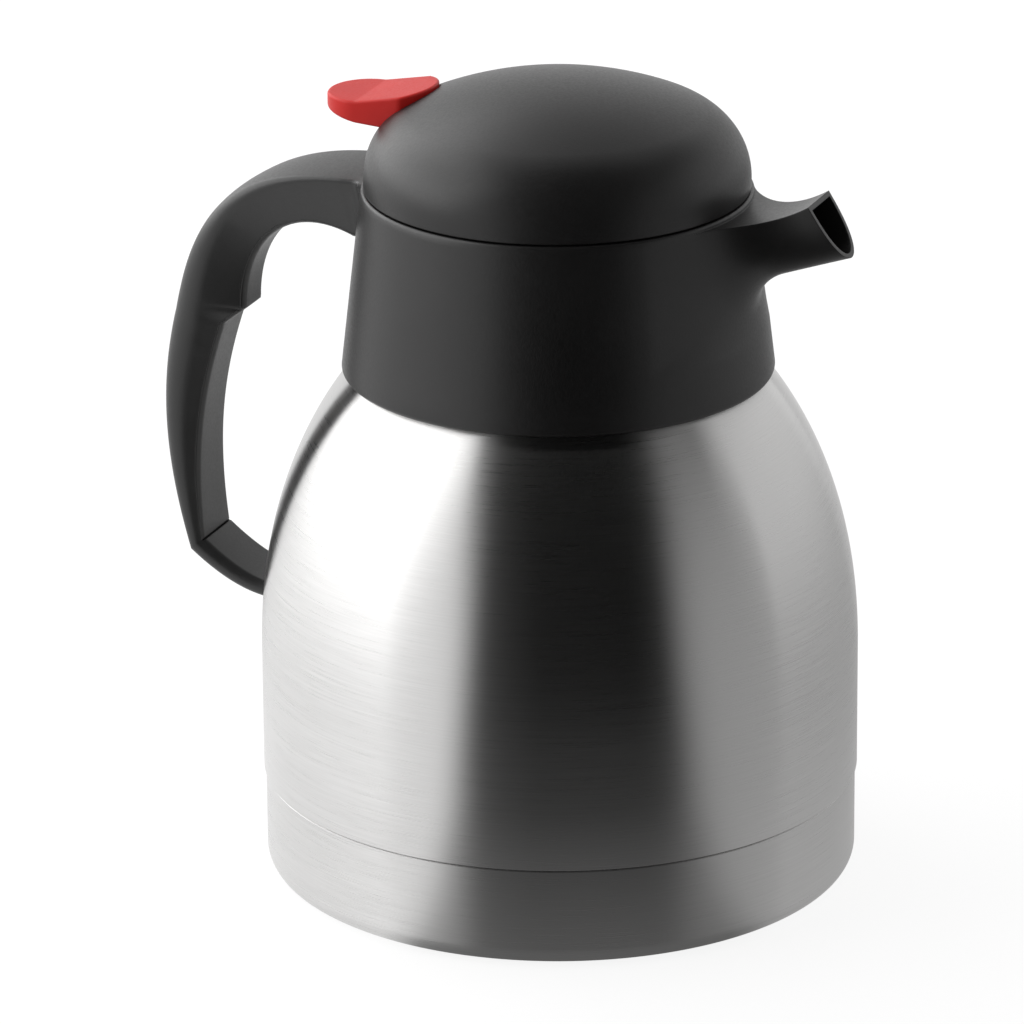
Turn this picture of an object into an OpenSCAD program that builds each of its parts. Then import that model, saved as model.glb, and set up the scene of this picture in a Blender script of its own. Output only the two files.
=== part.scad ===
// Thermal carafe: a double-walled steel vessel under a plastic collar with a spout and a
// handle. Its lid turns off, and a thumb lever on the lid lifts a valve for pouring.
// The origin is on the vessel's axis, on the surface it stands on. The spout points along +X.

/* [Vessel] */
// Outer radius of the straight side
body_r = 72.5; // [60:0.5:90]
// Height at which the straight side turns into the shoulder
side_top = 55.3; // [46:0.1:70]
// Height above the straight side at which the shoulder curve would close
shoulder_h = 95.9; // [80:0.1:116]
// Power of the shoulder curve, higher for a squarer shoulder
shoulder_power = 2.1; // [1.9:0.05:2.4]
// Thickness of every steel wall
steel_wall = 0.8; // [0.5:0.1:1]
// Vacuum gap between the two walls at the side
vacuum_gap = 5.5; // [4.5:0.1:7]
// Outer radius of the neck
neck_r = 33.5; // [28:0.1:36]
// Length of the straight neck
neck_h = 7.1; // [6:0.1:9]
// Height of the cup that closes the bottom
base_h = 24.5; // [20:0.5:30]
// Radius of the cup, a little inside the vessel's side
base_inset = 0.5; // [0.3:0.1:0.8]
// Radius of the cup's bottom edge
base_edge_r = 4.6; // [3:0.1:6]
// How far the middle of the cup is raised off the surface
base_recess = 2; // [1:0.1:2.6]

/* [Collar] */
// Outer radius of the collar's rim
rim_r = 46.9; // [39:0.1:56.5]
// Height of the rim above the top of the neck
rim_rise = 23.4; // [21.5:0.1:27]
// Height of the collar's outer wall
collar_h = 45.4; // [38:0.1:54]
// How far the collar's lower edge stands out from the shoulder
collar_lip = 2.3; // [2.1:0.1:4]
// Thickness of the collar's outer wall
collar_wall = 2.4; // [2:0.1:2.8]
// Thickness of the rim between the bore that takes the lid and the outside
rim_wall = 3.7; // [3:0.1:4.4]
// Thickness of the bowl's floor over the neck
floor_t = 2.2; // [1.8:0.1:3]

/* [Spout] */
// How far the upper edge of the mouth reaches past the rim
spout_reach = 19.3; // [16:0.1:24]
// How far the upper edge of the mouth rises above the spout's root
spout_rise = 5.5; // [4.5:0.1:7]
// Half width of the spout
spout_w = 7.1; // [6:0.1:8.5]
// Length of the mouth from its upper edge to its lip
mouth_depth = 15.9; // [14:0.1:18]
// Tilt of the mouth from upright
mouth_tilt = 32.3; // [25:0.1:38]
// Slope of the spout's underside
spout_slope = 19; // [14:0.5:23]
// Radius that blends the spout's sides into the rim, seen from above
spout_side_blend = 26; // [20:0.5:30]
// Radius that blends the spout's underside into the collar
spout_under_blend = 12.2; // [9:0.1:14]
// Wall of the spout
spout_wall = 1.2; // [1:0.1:2]

/* [Handle] */
// How far the back of the grip stands out from the vessel's side
grip_reach = 26.2; // [24:0.1:31]
// Half width of the handle's back
handle_w = 10; // [8.5:0.1:11]
// Half width of the handle's arm where it meets the collar
arm_root_w = 12.2; // [10.5:0.1:13.5]
// Half width of the handle's inner face, up to its rounded edges
handle_inner_w = 3.9; // [3.2:0.1:4.6]
// Half width of the inner face just below the finger stop
grip_low_inner_w = 5.3; // [4.8:0.1:5.6]
// Radius of the rounded edges of the inner face, which the strip forms
strip_edge_r = 2; // [1.6:0.1:2.4]
// Depth of the arm where it meets the collar
arm_depth = 17.2; // [15:0.1:19]
// Depth of the grip just above the finger stop
grip_depth = 18.7; // [17:0.1:20]
// Depth of the grip just below the finger stop
grip_low_depth = 13.6; // [12.6:0.1:14.6]
// Depth of the handle at its lower corner
corner_depth = 5.6; // [5:0.1:6.5]
// Distance from the arm's top down to the finger stop
stop_drop = 40.3; // [36:0.1:46]
// Height at which the foot of the handle meets the vessel
foot_z = 60.7; // [54:0.1:66]

/* [Lid] */
// Gap between the lid's rim and the collar's
seam_gap = 0.3; // [0.2:0.1:0.6]
// How far the dome's rim stands inside the collar's
dome_inset = 0.6; // [0.4:0.1:1.2]
// Height of the dome's straight rim
dome_skirt_h = 2.2; // [2:0.1:6]
// Radius of the dome's shoulder
dome_knuckle_r = 18; // [15:0.1:20]
// Radius of the dome's crown
dome_crown_r = 88; // [76:1:110]
// Thickness of the dome
dome_wall = 2.2; // [1.8:0.1:2.4]
// Depth of the threaded skirt below the rim
thread_h = 7.8; // [6:0.1:9]
// Gap between the stopper tube and the neck, which the lip seal closes
stopper_gap = 2; // [1.6:0.1:3]
// Wall of the stopper tube
stopper_wall = 2.6; // [2.2:0.1:3]
// Number of pour windows round the stopper
window_count = 6; // [4:1:8]
// Radius of the valve seat's hole
seat_hole_r = 11; // [9:0.1:13.2]

/* [Lever] */
// Half width of the thumb lever
lever_w = 10; // [9:0.1:11]
// How far the crease across the lever stands out from the dome's rim
lever_crease_out = 1.9; // [1.2:0.1:2.8]
// How far the lever's inner end lies inside the dome's rim
lever_inner_in = 15; // [14.4:0.1:15.4]
// Rise of the inner facet from the crease to the inner end
lever_rise = 3.2; // [2.6:0.1:5]
// How far the pivot pin lies inside the dome's rim
pivot_in = 13.1; // [12.5:0.1:13.8]
// Radius of the pivot pin
pin_r = 1.5; // [1.2:0.1:1.8]
// Angle through which the lever is pressed
press_angle = 9; // [6:0.5:9]
// Radius of the valve stem
stem_r = 2.4; // [2:0.1:2.8]
// Number of turns of the valve spring
spring_turns = 6; // [4:1:8]
// Radius of the spring's wire
spring_wire_r = 0.55; // [0.4:0.05:0.7]

/* [Fits] */
// Clearance of parts that are pushed or clamped together
seat_gap = 0.1; // [0.05:0.05:0.2]
// Clearance of parts that move or seal by squeezing
move_gap = 0.3; // [0.25:0.05:0.4]
// Running clearance of the lever on its pin
run_gap = 0.05; // [0.03:0.01:0.08]

/* [Hidden] */
$fn = 96;

// Amount by which a cutting shape runs past the face it cuts
past = 1;

// Heights, from the bottom up
neck_foot_t = pow(1 - pow(neck_r / body_r, 2), 1 / shoulder_power);
neck_foot_z = side_top + shoulder_h * neck_foot_t;
neck_top = neck_foot_z + neck_h;
gasket_t = 1.3;
floor_under = neck_top + gasket_t + seat_gap;
floor_z = floor_under + floor_t;
rim_z = neck_top + rim_rise;
collar_z = rim_z - collar_h;
seam_z = rim_z + seam_gap;

// Radii that follow the neck and the rim
inner_neck_r = neck_r - steel_wall - 1.7;
stopper_r = inner_neck_r - steel_wall - stopper_gap;
bore_r = rim_r - rim_wall;
dome_r = rim_r - dome_inset;

// Vessel
base_r = body_r - base_inset;
shell_low_r = base_r - steel_wall - seat_gap;
step_z = base_h + 0.4;
shell_foot_z = 4;
inner_r = body_r - steel_wall - vacuum_gap;
inner_shoulder_h = shoulder_h - vacuum_gap - steel_wall;
inner_floor_z = 14;
inner_corner_r = 22;
pan_z = 5;
pan_r = shell_low_r - steel_wall - seat_gap;
pan_rim_h = 7;
seal_r = 5;
seal_t = 1;
getter_r = 8;
getter_t = 2;
getter_x = 30;
base_ring_r = 50;
shoulder_steps = 22;

// Collar
collar_r = shoulder_r(collar_z) + collar_lip;
collar_foot_r = shoulder_r(collar_z) + 0.3;
collar_slope = (collar_r - rim_r) / collar_h;
collar_edge_r = 1.3;
rim_edge_r = 0.6;
mouth_hole_r = inner_neck_r + steel_wall;
neck_ring_t = 1.6;
socket_r = neck_r + seat_gap + neck_ring_t + move_gap;
socket_t = 2;
neck_ring_h = 6;

// Spout, in the plane through the axis: distance from the axis, then height
spout_root_z = rim_z - 1.05;
spout_flat_end = rim_r + 0.3;
mouth_x = rim_r + spout_reach;
mouth_z = spout_root_z + spout_rise;
lip_x = mouth_x + mouth_depth * sin(mouth_tilt);
lip_z = mouth_z - mouth_depth * cos(mouth_tilt);
spout_run = mouth_x - spout_flat_end;
top_arc_r = (pow(spout_run, 2) + pow(spout_rise, 2)) / (2 * spout_rise);
root_sink = 0.8;
side_centre_y = spout_w + spout_side_blend;
root_r = rim_r - root_sink;
side_centre_x = sqrt(pow(root_r + spout_side_blend, 2) - pow(side_centre_y, 2));
side_tangent_x = side_centre_x * root_r / (root_r + spout_side_blend);
under_normal = [sin(spout_slope), -cos(spout_slope)];
wall_normal = [1, collar_slope] / sqrt(1 + pow(collar_slope, 2));
under_offset = under_normal * [lip_x, lip_z] + spout_under_blend;
wall_offset = wall_normal * [collar_r - root_sink, collar_z] + spout_under_blend;
blend_det = under_normal[0] * wall_normal[1] - under_normal[1] * wall_normal[0];
blend_x = (under_offset * wall_normal[1] - under_normal[1] * wall_offset) / blend_det;
blend_z = (under_normal[0] * wall_offset - under_offset * wall_normal[0]) / blend_det;
blend_start = 180 + atan(collar_slope);
blend_end = 90 + spout_slope;
spout_root_x = rim_r - 5.7;
spout_root_in = 2;
spout_steps = 14;
section_steps = 8;
root_power = 1.15;
mouth_power = 2.8;
channel_power = 2.5;
channel_root_x = bore_r - 5;
channel_root_w = 11;
channel_out = 4;

// Handle, in the same plane with distances measured to the back
arm_z = rim_z - 0.05;
arm_x = rim_r + 4.3;
arm_under = arm_z - arm_depth;
grip_x = body_r + grip_reach;
stop_z = arm_z - stop_drop;
corner_x = body_r + grip_reach - 3.4;
corner_z = foot_z + 8;
foot_half_t = 2.1;
foot_angle = 17;
back_upper = [
  [arm_x, arm_z],
  [arm_x + 25.5, arm_z - 0.1],
  [grip_x - 5.9, stop_z + 30.2],
  [grip_x, stop_z]
];
back_lower = [
  [grip_x, stop_z],
  [grip_x + 5.6, stop_z - 20.7],
  [corner_x + 6.8, corner_z + 21.8],
  [corner_x, corner_z]
];
back_foot = [
  [corner_x, corner_z],
  [corner_x - 6.5, corner_z - 5.3],
  [body_r + 8, foot_z - foot_half_t],
  [body_r - 1, foot_z - foot_half_t]
];
front_upper = [
  [arm_x, arm_under],
  [arm_x + 14.4, arm_under + 6.2],
  [grip_x - grip_depth - 1, stop_z + 22.5],
  [grip_x - grip_depth, stop_z + 3.2]
];
front_lower = [
  [grip_x - grip_low_depth + 0.2, stop_z - 2.8],
  [grip_x - 6.6, stop_z - 22.5],
  [corner_x - 1.9, corner_z + 24],
  [corner_x - 0.72 * corner_depth, corner_z + 0.65 * corner_depth]
];
front_foot = [
  [corner_x - 0.72 * corner_depth, corner_z + 0.65 * corner_depth],
  [corner_x - 8.6, corner_z - 0.1],
  [body_r + 6.5, foot_z + foot_half_t],
  [body_r - 1, foot_z + foot_half_t]
];
stop_ledge = [grip_x - grip_depth + 0.9, stop_z + 0.7];
stop_back_t = 0.94;
foot_w = 9;
foot_inner_w = 7;
back_corner_r = 5.5;
arm_corner_r = 0.8;
back_crown = 0.4;
root_fillet = 2.4;
root_side_x = rim_r - 1.1;
root_low_x = rim_r + collar_slope * arm_depth - 0.3;
root_end_x = rim_r - 5;
root_rows = 5;
upper_steps = 14;
lower_steps = 14;
foot_steps = 6;
tenon_w = 14;
tenon_h = 9;
tenon_depth = 2;
bracket_t = 1.2;
bracket_w = 12;
bracket_h = 3.4;
tongue_w = 10;
tongue_t = 1.4;
tongue_l = 11;
screw_at = 8;
screw_r = 1.25;
screw_head_r = 2.4;
screw_head_t = 0.8;
screw_l = 3;

// Lid
knuckle_x = dome_r - dome_knuckle_r;
knuckle_z = seam_z + dome_skirt_h;
crown_drop = sqrt(pow(dome_crown_r - dome_knuckle_r, 2) - pow(knuckle_x, 2));
crown_z = knuckle_z - crown_drop;
crown_angle = atan2(crown_drop, knuckle_x);
knuckle_steps = 10;
crown_steps = 5;
plate_r = dome_r - dome_wall - move_gap;
plate_t = 1.8;
plate_z = seam_z + plate_t;
skirt_r = bore_r - 0.5;
skirt_wall = 2.2;
stopper_z = neck_foot_z - 2.9;
seat_t = 2.4;
seat_z = stopper_z + seat_t;
groove_z = stopper_z + 3.5;
groove_h = 4;
groove_depth = 1.6;
window_z = floor_z + 1.5;
window_h = 8;
window_share = 0.6;
guide_r = 7;
guide_z = rim_z - 6;
boss_r = 3.5;
boss_ring_r = dome_r - 12.3;
boss_angles = [-52, 52, 128, 232];
lid_screw_r = 1.4;
lid_screw_l = 9;
lid_screw_head_r = 2.8;
lid_screw_head_t = 1.6;

// Lever and valve
pivot_x = dome_r - pivot_in;
pivot_z = seam_z + 10.9;
lever_crease_x = dome_r + lever_crease_out;
lever_inner_x = dome_r - lever_inner_in;
lever_top_z = seam_z + 18.3;
lever_under_z = lever_top_z - 6;
lever_tip_z = lever_top_z - 3.6;
lever_belly_z = pivot_z + 3.6;
lever_wall_x = pivot_x + 5.4;
lever_tip_x = lever_crease_x + 0.4 + lever_w;
lever_end_bulge = 5.2;
lever_end_r = (pow(lever_w, 2) + pow(lever_end_bulge, 2)) / (2 * lever_end_bulge);
lever_end_centre = lever_inner_x + lever_end_r;
slot_gap = 0.45;
slot_z = pivot_z - 1.2;
hub_r = 3;
hub_w = 6;
ear_t = 2.6;
ear_r = 2.9;
arm_top = pivot_z + 2.4;
arm_bottom = pivot_z - 1.2;
arm_w = 5;
fork_end = 6;
fork_gap = 0.6;
cap_r = 4.8;
cap_t = 2;
cap_z = arm_top + move_gap;
stem_top = cap_z + cap_t;
disc_r = seat_hole_r + 3;
disc_t = 3;
valve_seal_r = seat_hole_r + 4;
valve_seal_t = 1.5;
valve_seal_z = seat_z + 0.2;
stem_head_r = 7;
stem_head_t = 1.6;
disc_z = valve_seal_z + valve_seal_t;
spring_r = 4.5;
spring_foot = disc_z + disc_t + seat_gap;
spring_head = guide_z - seat_gap;

// Radius of the outer shoulder at a height
function shoulder_r(z) =
  body_r * sqrt(1 - pow(max(0, z - side_top) / shoulder_h, shoulder_power));

// Radius of a shoulder of any size, as a share of its height
function curve_r(r, t) = r * sqrt(1 - pow(t, shoulder_power));

// Radius of the collar's outer wall at a height
function collar_wall_r(z) = rim_r + (rim_z - z) * collar_slope;

// Point at share t of a curve with four control points
function curve(p, t) =
  p[0] * pow(1 - t, 3) + 3 * p[1] * t * pow(1 - t, 2)
  + 3 * p[2] * t * t * (1 - t) + p[3] * pow(t, 3);

// Value at share t between two others
function mix(a, b, t) = a + (b - a) * t;

// Half width of the spout's top at a distance from the axis
function spout_half(x) =
  x < side_tangent_x ? sqrt(pow(root_r, 2) - pow(x, 2))
  : x < side_centre_x ? side_centre_y - sqrt(pow(spout_side_blend, 2) - pow(side_centre_x - x, 2))
  : spout_w;

// Height of the spout's top at a distance from the axis
function spout_top(x) =
  x < spout_flat_end ? spout_root_z
  : spout_root_z + top_arc_r - sqrt(pow(top_arc_r, 2) - pow(x - spout_flat_end, 2));

// Lowest point of the spout at a share of its length: first round the blend, then straight
function spout_bottom(t) =
  let (
    a = mix(blend_start, blend_end, min(1, 2 * t)),
    p = [blend_x, blend_z] + spout_under_blend * [cos(a), sin(a)]
  )
  t < 0.5 ? p : mix(p, [lip_x, lip_z], 2 * t - 1);

// One section of the spout: flat on top, rounded below
function spout_section(top, bottom, half, power) = [
  for (side = [1, -1])
    for (i = [0 : section_steps])
      if (side == 1 || (i > 0))
        let (
          a = side == 1 ? 90 * i / section_steps : 90 - 90 * i / section_steps,
          p = mix(top, bottom, pow(sin(a), 2 / power))
        )
        [p[0], side * half * cos(a), p[1]]
];

// Centre of the circle that rounds the handle's back corner, across one of its sections
function back_centre(w, r) = [r + back_crown, w - r];

// Direction in which the handle's side faces: square to the line that touches both rounded corners
function side_lean(depth, w, inner_w, back_r, front_r) =
  let (v = [depth - front_r, inner_w] - back_centre(w, back_r))
  atan2(v[1], v[0]) + acos((back_r - front_r) / norm(v));

// Points round a corner between two directions
function corner(centre, r, from, to, steps) = [
  for (i = [0 : steps])
    let (a = mix(from, to, i / steps))
    centre + r * [cos(a), sin(a)]
];

// Whole section from the points of its near half, laid along the line from its back to its front
function both_halves(half, back, front) =
  let (
    run = (front - back) / norm(front - back),
    other = [for (i = [len(half) - 1 : -1 : 0]) if (half[i][1] > 0) [half[i][0], -half[i][1]]]
  )
  [for (q = concat(half, other)) let (p = back + run * q[0]) [-p[0], -q[1], p[1]]];

// Skin over a row of sections with the same number of points
module loft(sections) {
  n = len(sections[0]);
  last = len(sections) - 1;
  sides = [
    for (s = [0 : last - 1])
      for (i = [0 : n - 1])
        let (a = s * n + i, b = s * n + (i + 1) % n)
        each [[a, b, a + n], [b, b + n, a + n]]
  ];
  ends = [
    [for (i = [n - 1 : -1 : 0]) i],
    [for (i = [0 : n - 1]) last * n + i]
  ];
  polyhedron([for (s = sections) each s], concat(sides, ends), convexity = 6);
}

// Ring about the axis
module ring(outer, inner, z, h) {
  translate([0, 0, z])
    difference() {
      cylinder(r = outer, h = h);
      translate([0, 0, -past]) cylinder(r = inner, h = h + 2 * past);
    }
}

// Solid body of the vessel's shape, from its foot up to the top of its neck
module vessel_profile(r, foot, straight, rise, neck, top, corner) {
  end = pow(1 - pow(neck / r, 2), 1 / shoulder_power);
  shoulder = [
    for (i = [0 : shoulder_steps])
      let (t = end * sin(90 * i / shoulder_steps))
      [curve_r(r, t), straight + rise * t]
  ];
  polygon(concat([[0, foot], [r - corner, foot], [r, foot + corner]], shoulder, [[neck, top], [0, top]]));
  translate([r - corner, foot + corner])
    intersection() {
      circle(r = corner);
      translate([0, -corner]) square([corner, corner]);
    }
}

// Outer wall: straight side, shoulder and neck, stepped in where the cup goes on
module outer_shell() {
  color("silver")
    rotate_extrude()
      difference() {
        intersection() {
          vessel_profile(body_r, shell_foot_z, side_top, shoulder_h, neck_r, neck_top - steel_wall, 0.01);
          union() {
            translate([0, shell_foot_z]) square([shell_low_r, neck_top]);
            translate([0, step_z]) square([body_r, neck_top]);
          }
        }
        vessel_profile(
          shell_low_r - steel_wall, shell_foot_z - past, side_top, shoulder_h - steel_wall,
          neck_r - steel_wall, neck_top + past, 0.01
        );
        translate([0, step_z + steel_wall])
          square([body_r - steel_wall, side_top - step_z - steel_wall]);
        shoulder_hollow();
      }
}

// Space under the outer shoulder, one wall in from it
module shoulder_hollow() {
  intersection() {
    vessel_profile(
      body_r - steel_wall, shell_foot_z, side_top, shoulder_h - steel_wall,
      neck_r - steel_wall, neck_top + past, 0.01
    );
    translate([0, side_top - 0.01]) square([body_r, neck_top]);
  }
}

// Liner that holds the drink, with a lip that lies on the outer neck
module inner_vessel() {
  color("lightgray")
    rotate_extrude() {
      difference() {
        vessel_profile(
          inner_r, inner_floor_z, side_top, inner_shoulder_h, inner_neck_r, neck_top, inner_corner_r
        );
        vessel_profile(
          inner_r - steel_wall, inner_floor_z + steel_wall, side_top, inner_shoulder_h - steel_wall,
          inner_neck_r - steel_wall, neck_top + past, inner_corner_r - steel_wall
        );
      }
      translate([inner_neck_r - steel_wall / 2, neck_top - steel_wall])
        square([neck_r - inner_neck_r + steel_wall / 2, steel_wall]);
    }
}

// Disc welded into the outer wall's lower end, with a turned-up rim
module bottom_pan() {
  color("darkgray") {
    difference() {
      translate([0, 0, pan_z]) cylinder(r = pan_r, h = pan_rim_h);
      translate([0, 0, pan_z + steel_wall]) cylinder(r = pan_r - steel_wall, h = pan_rim_h);
      translate([0, 0, pan_z - past]) cylinder(r = seal_r / 4, h = steel_wall + 2 * past);
    }
  }
}

// Bead that seals the hole through which the air was drawn off
module vacuum_seal() {
  color("gray") translate([0, 0, pan_z - seal_t]) cylinder(r = seal_r, h = seal_t);
}

// Pellet that keeps the vacuum, held on the pan
module getter() {
  color("dimgray")
    translate([getter_x, 0, pan_z + steel_wall]) {
      difference() {
        cylinder(r = getter_r, h = getter_t);
        translate([0, 0, getter_t / 2]) cylinder(r = getter_r / 2, h = getter_t);
      }
    }
}

// Cup pressed onto the outer wall's lower end; it stands on a ring and its middle is raised
module base_cup() {
  color("silver")
    difference() {
      rotate_extrude() cup_profile(base_r, 0, base_edge_r, base_h);
      rotate_extrude()
        cup_profile(base_r - steel_wall, steel_wall, base_edge_r - steel_wall, base_h + past);
      translate([0, 0, -past]) cylinder(r = base_ring_r, h = past + base_recess);
    }
  color("silver")
    difference() {
      cylinder(r = base_ring_r + steel_wall, h = base_recess + steel_wall);
      translate([0, 0, -past]) cylinder(r = base_ring_r, h = past + base_recess);
    }
}

// Half outline of a cup with a rounded bottom edge
module cup_profile(r, z, edge, top) {
  translate([0, z]) square([r - edge, top - z]);
  translate([0, z + edge]) square([r, top - z - edge]);
  translate([r - edge, z + edge]) circle(r = edge);
}

// Threaded ring on the neck, which the collar screws down on
module neck_ring() {
  color("gray")
    ring(
      neck_r + seat_gap + neck_ring_t, neck_r + seat_gap,
      neck_top - steel_wall - neck_ring_h, neck_ring_h
    );
}

// Seal between the vessel's lip and the bowl's floor
module neck_gasket() {
  color("whitesmoke") ring(neck_r, mouth_hole_r - steel_wall, neck_top + seat_gap / 2, gasket_t);
}

// Collar: outer wall, bowl for the lid, socket for the neck, and the spout
module collar() {
  color("dimgray")
    difference() {
      union() {
        rotate_extrude() collar_profile();
        loft(spout_skin());
      }
      rotate_extrude() bowl_profile();
      loft(spout_channel());
      tenon(seat_gap);
    }
}

// Half outline of the collar, closed inside the bowl
module collar_profile() {
  difference() {
    union() {
      polygon([
        [0, collar_z + collar_edge_r],
        [collar_wall_r(collar_z + collar_edge_r), collar_z + collar_edge_r],
        [collar_wall_r(rim_z - rim_edge_r), rim_z - rim_edge_r],
        [rim_r - rim_edge_r, rim_z],
        [0, rim_z]
      ]);
      translate([collar_wall_r(collar_z + collar_edge_r) - collar_edge_r, collar_z + collar_edge_r])
        circle(r = collar_edge_r);
    }
    polygon([
      [0, collar_z - past],
      [collar_foot_r, collar_z - past],
      [collar_foot_r, collar_z],
      [collar_foot_r - 0.6 * collar_edge_r, collar_z + collar_edge_r],
      [collar_wall_r(floor_under) - collar_wall, floor_under],
      [0, floor_under]
    ]);
  }
  translate([socket_r, neck_foot_z + past])
    square([socket_t, floor_under + past - neck_foot_z]);
}

// Bowl above the floor and the hole over the vessel's mouth
module bowl_profile() {
  translate([0, floor_z]) square([bore_r, rim_z]);
  square([mouth_hole_r, rim_z]);
}

// Sections of the spout's outside, from inside the collar's wall out to the mouth
function spout_skin() = concat(
  [
    spout_section(
      [spout_root_x - spout_root_in, spout_root_z],
      spout_bottom(0) - [spout_root_in, 0],
      spout_half(spout_root_x) - spout_root_in / 2,
      root_power
    )
  ],
  [
    for (i = [0 : spout_steps])
      let (
        t = i / spout_steps,
        x = mix(spout_root_x, mouth_x, t)
      )
      spout_section(
        [x, spout_top(x)], spout_bottom(t), spout_half(x), mix(root_power, mouth_power, pow(t, 0.6))
      )
  ]
);

// Sections of the pouring channel, from the bowl out past the mouth
function spout_channel() =
  let (
    down = [sin(mouth_tilt), -cos(mouth_tilt)],
    outward = [cos(spout_slope), sin(spout_slope)],
    top_end = [mouth_x, mouth_z] + spout_wall * down,
    low_end = [lip_x, lip_z] - spout_wall * down,
    low_root = [channel_root_x, floor_z + 0.8]
  )
  concat(
    [
      for (i = [0 : spout_steps])
        let (
          t = i / spout_steps,
          x = mix(channel_root_x, top_end[0], t),
          z = i == spout_steps ? top_end[1] : spout_top(x) - spout_wall
        )
        spout_section(
          [x, z], mix(low_root, low_end, t),
          min(channel_root_w, spout_half(x) - spout_wall), channel_power
        )
    ],
    [
      spout_section(
        top_end + channel_out * outward, low_end + channel_out * outward,
        spout_w - spout_wall, channel_power
      )
    ]
  );

// Block on the handle's arm that goes into the collar's wall
module tenon(extra) {
  depth = tenon_depth + extra;
  wall = collar_wall_r(arm_z - arm_depth / 2);
  translate([-wall - past, -tenon_w / 2 - extra, arm_z - arm_depth / 2 - tenon_h / 2 - extra])
    cube([depth + past, tenon_w + 2 * extra, tenon_h + 2 * extra]);
}

// How far a rounded inside corner stands out at a distance from the wall
function fillet(d) =
  let (left = root_fillet - max(0, min(d, root_fillet)))
  root_fillet - sqrt(pow(root_fillet, 2) - pow(left, 2));

// Rows for the handle's sections: back, front, half width, inner half width, back corner
function handle_rows() = concat(
  [
    for (i = [0 : root_rows])
      let (x = i == 0 ? root_end_x : mix(root_side_x, arm_x, (i - 1) / root_rows))
      [
        [x, arm_z], [x, arm_under - fillet(x - root_low_x)],
        arm_root_w + fillet(x - root_side_x), handle_inner_w, arm_corner_r
      ]
  ],
  [
    for (i = [0 : upper_steps])
      let (t = i / upper_steps)
      [
        curve(back_upper, stop_back_t * t), curve(front_upper, t),
        mix(arm_root_w, handle_w, min(1, 1.6 * t)), handle_inner_w,
        mix(arm_corner_r, back_corner_r, pow(t, 1.3))
      ]
  ],
  [
    for (t = [0.3, 0.7])
      [
        curve(back_upper, mix(stop_back_t, 1, t)), mix(stop_ledge, front_lower[0], 2 * t - 0.6),
        handle_w, mix(handle_inner_w, grip_low_inner_w, t), back_corner_r
      ]
  ],
  [
    for (i = [0 : lower_steps])
      let (t = i / lower_steps, back = curve(back_lower, t), front = curve(front_lower, t))
      [
        back, front, mix(handle_w, foot_w, t), mix(grip_low_inner_w, foot_inner_w, pow(t, 1.5)),
        min(back_corner_r, 0.42 * norm(front - back))
      ]
  ]
);

// Rows for the handle's foot, from its corner in to the vessel
function foot_rows() = [
  for (i = [0 : foot_steps])
    let (t = mix(0.04, 1, i / foot_steps), back = curve(back_foot, t), front = curve(front_foot, t))
    [back, front, foot_w, foot_inner_w, min(back_corner_r, 0.42 * norm(front - back))]
];

// Section of the handle's shell; where the strip covers it, it ends in a flat seat
function shell_section(row, covered) =
  let (
    depth = norm(row[1] - row[0]),
    front_r = min(strip_edge_r, depth / 4),
    lean = side_lean(depth, row[2], row[3], row[4], front_r),
    seat = [depth - front_r, row[3]] + front_r * [cos(lean), sin(lean)] - [seat_gap, 0],
    half = concat(
      corner(back_centre(row[2], row[4]), row[4], 180, lean, 3),
      covered
        ? [seat, [seat[0], 0.7 * seat[1]], [seat[0], 0.3 * seat[1]]]
        : corner([depth - front_r, row[3]], front_r, lean, 0, 2)
    )
  )
  both_halves(concat([[0, 0]], half), row[0], row[1]);

// Section of the strip, which forms the handle's inner face and its rounded edges
function strip_section(row) =
  let (
    depth = norm(row[1] - row[0]),
    front_r = min(strip_edge_r, depth / 4),
    lean = side_lean(depth, row[2], row[3], row[4], front_r)
  )
  both_halves(corner([depth - front_r, row[3]], front_r, lean, 0, 3), row[0], row[1]);

// Outside of the collar, for what lies against it
module collar_outside(extra) {
  rotate_extrude()
    polygon([
      [0, collar_z - past],
      [collar_r + collar_slope * past + extra, collar_z - past],
      [rim_r - collar_slope * past + extra, rim_z + past],
      [0, rim_z + past]
    ]);
}

// Handle: arm, grip with a finger stop, and foot
module handle_shell() {
  rows = handle_rows();
  feet = foot_rows();
  color("dimgray")
    difference() {
      union() {
        difference() {
          loft(concat(
            [for (r = rows) shell_section(r, true)],
            [for (r = feet) shell_section(r, false)]
          ));
          collar_outside(seat_gap);
        }
        tenon(0);
      }
      cylinder(r = body_r + seat_gap, h = collar_z);
      foot_pocket();
      at_screw() {
        cylinder(r = screw_r + seat_gap, h = screw_l + seat_gap);
        translate([0, 0, -10]) cylinder(r = screw_head_r + seat_gap, h = 10);
      }
    }
}

// Strip that closes the handle's inner face
module handle_strip() {
  rows = handle_rows();
  color("dimgray")
    difference() {
      loft([for (r = rows) strip_section(r)]);
      collar_outside(seat_gap);
    }
}

// Places things in the foot's own directions, at its middle where it meets the vessel
module at_foot() {
  translate([-body_r, 0, foot_z]) rotate([0, foot_angle, 0]) children();
}

// Places things on the axis of the screw that holds the foot
module at_screw() {
  at_foot() translate([-screw_at, 0, -screw_l / 2]) children();
}

// Room in the foot for the bracket
module foot_pocket() {
  translate([
    -body_r - bracket_t - 2 * seat_gap, -bracket_w / 2 - seat_gap, foot_z - bracket_h / 2 - seat_gap
  ])
    cube([bracket_t + 2 * seat_gap + past, bracket_w + 2 * seat_gap, bracket_h + 2 * seat_gap]);
  at_foot()
    translate([-tongue_l - seat_gap, -tongue_w / 2 - seat_gap, -tongue_t / 2 - seat_gap])
      cube([tongue_l + seat_gap, tongue_w + 2 * seat_gap, tongue_t + 2 * seat_gap]);
}

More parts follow.
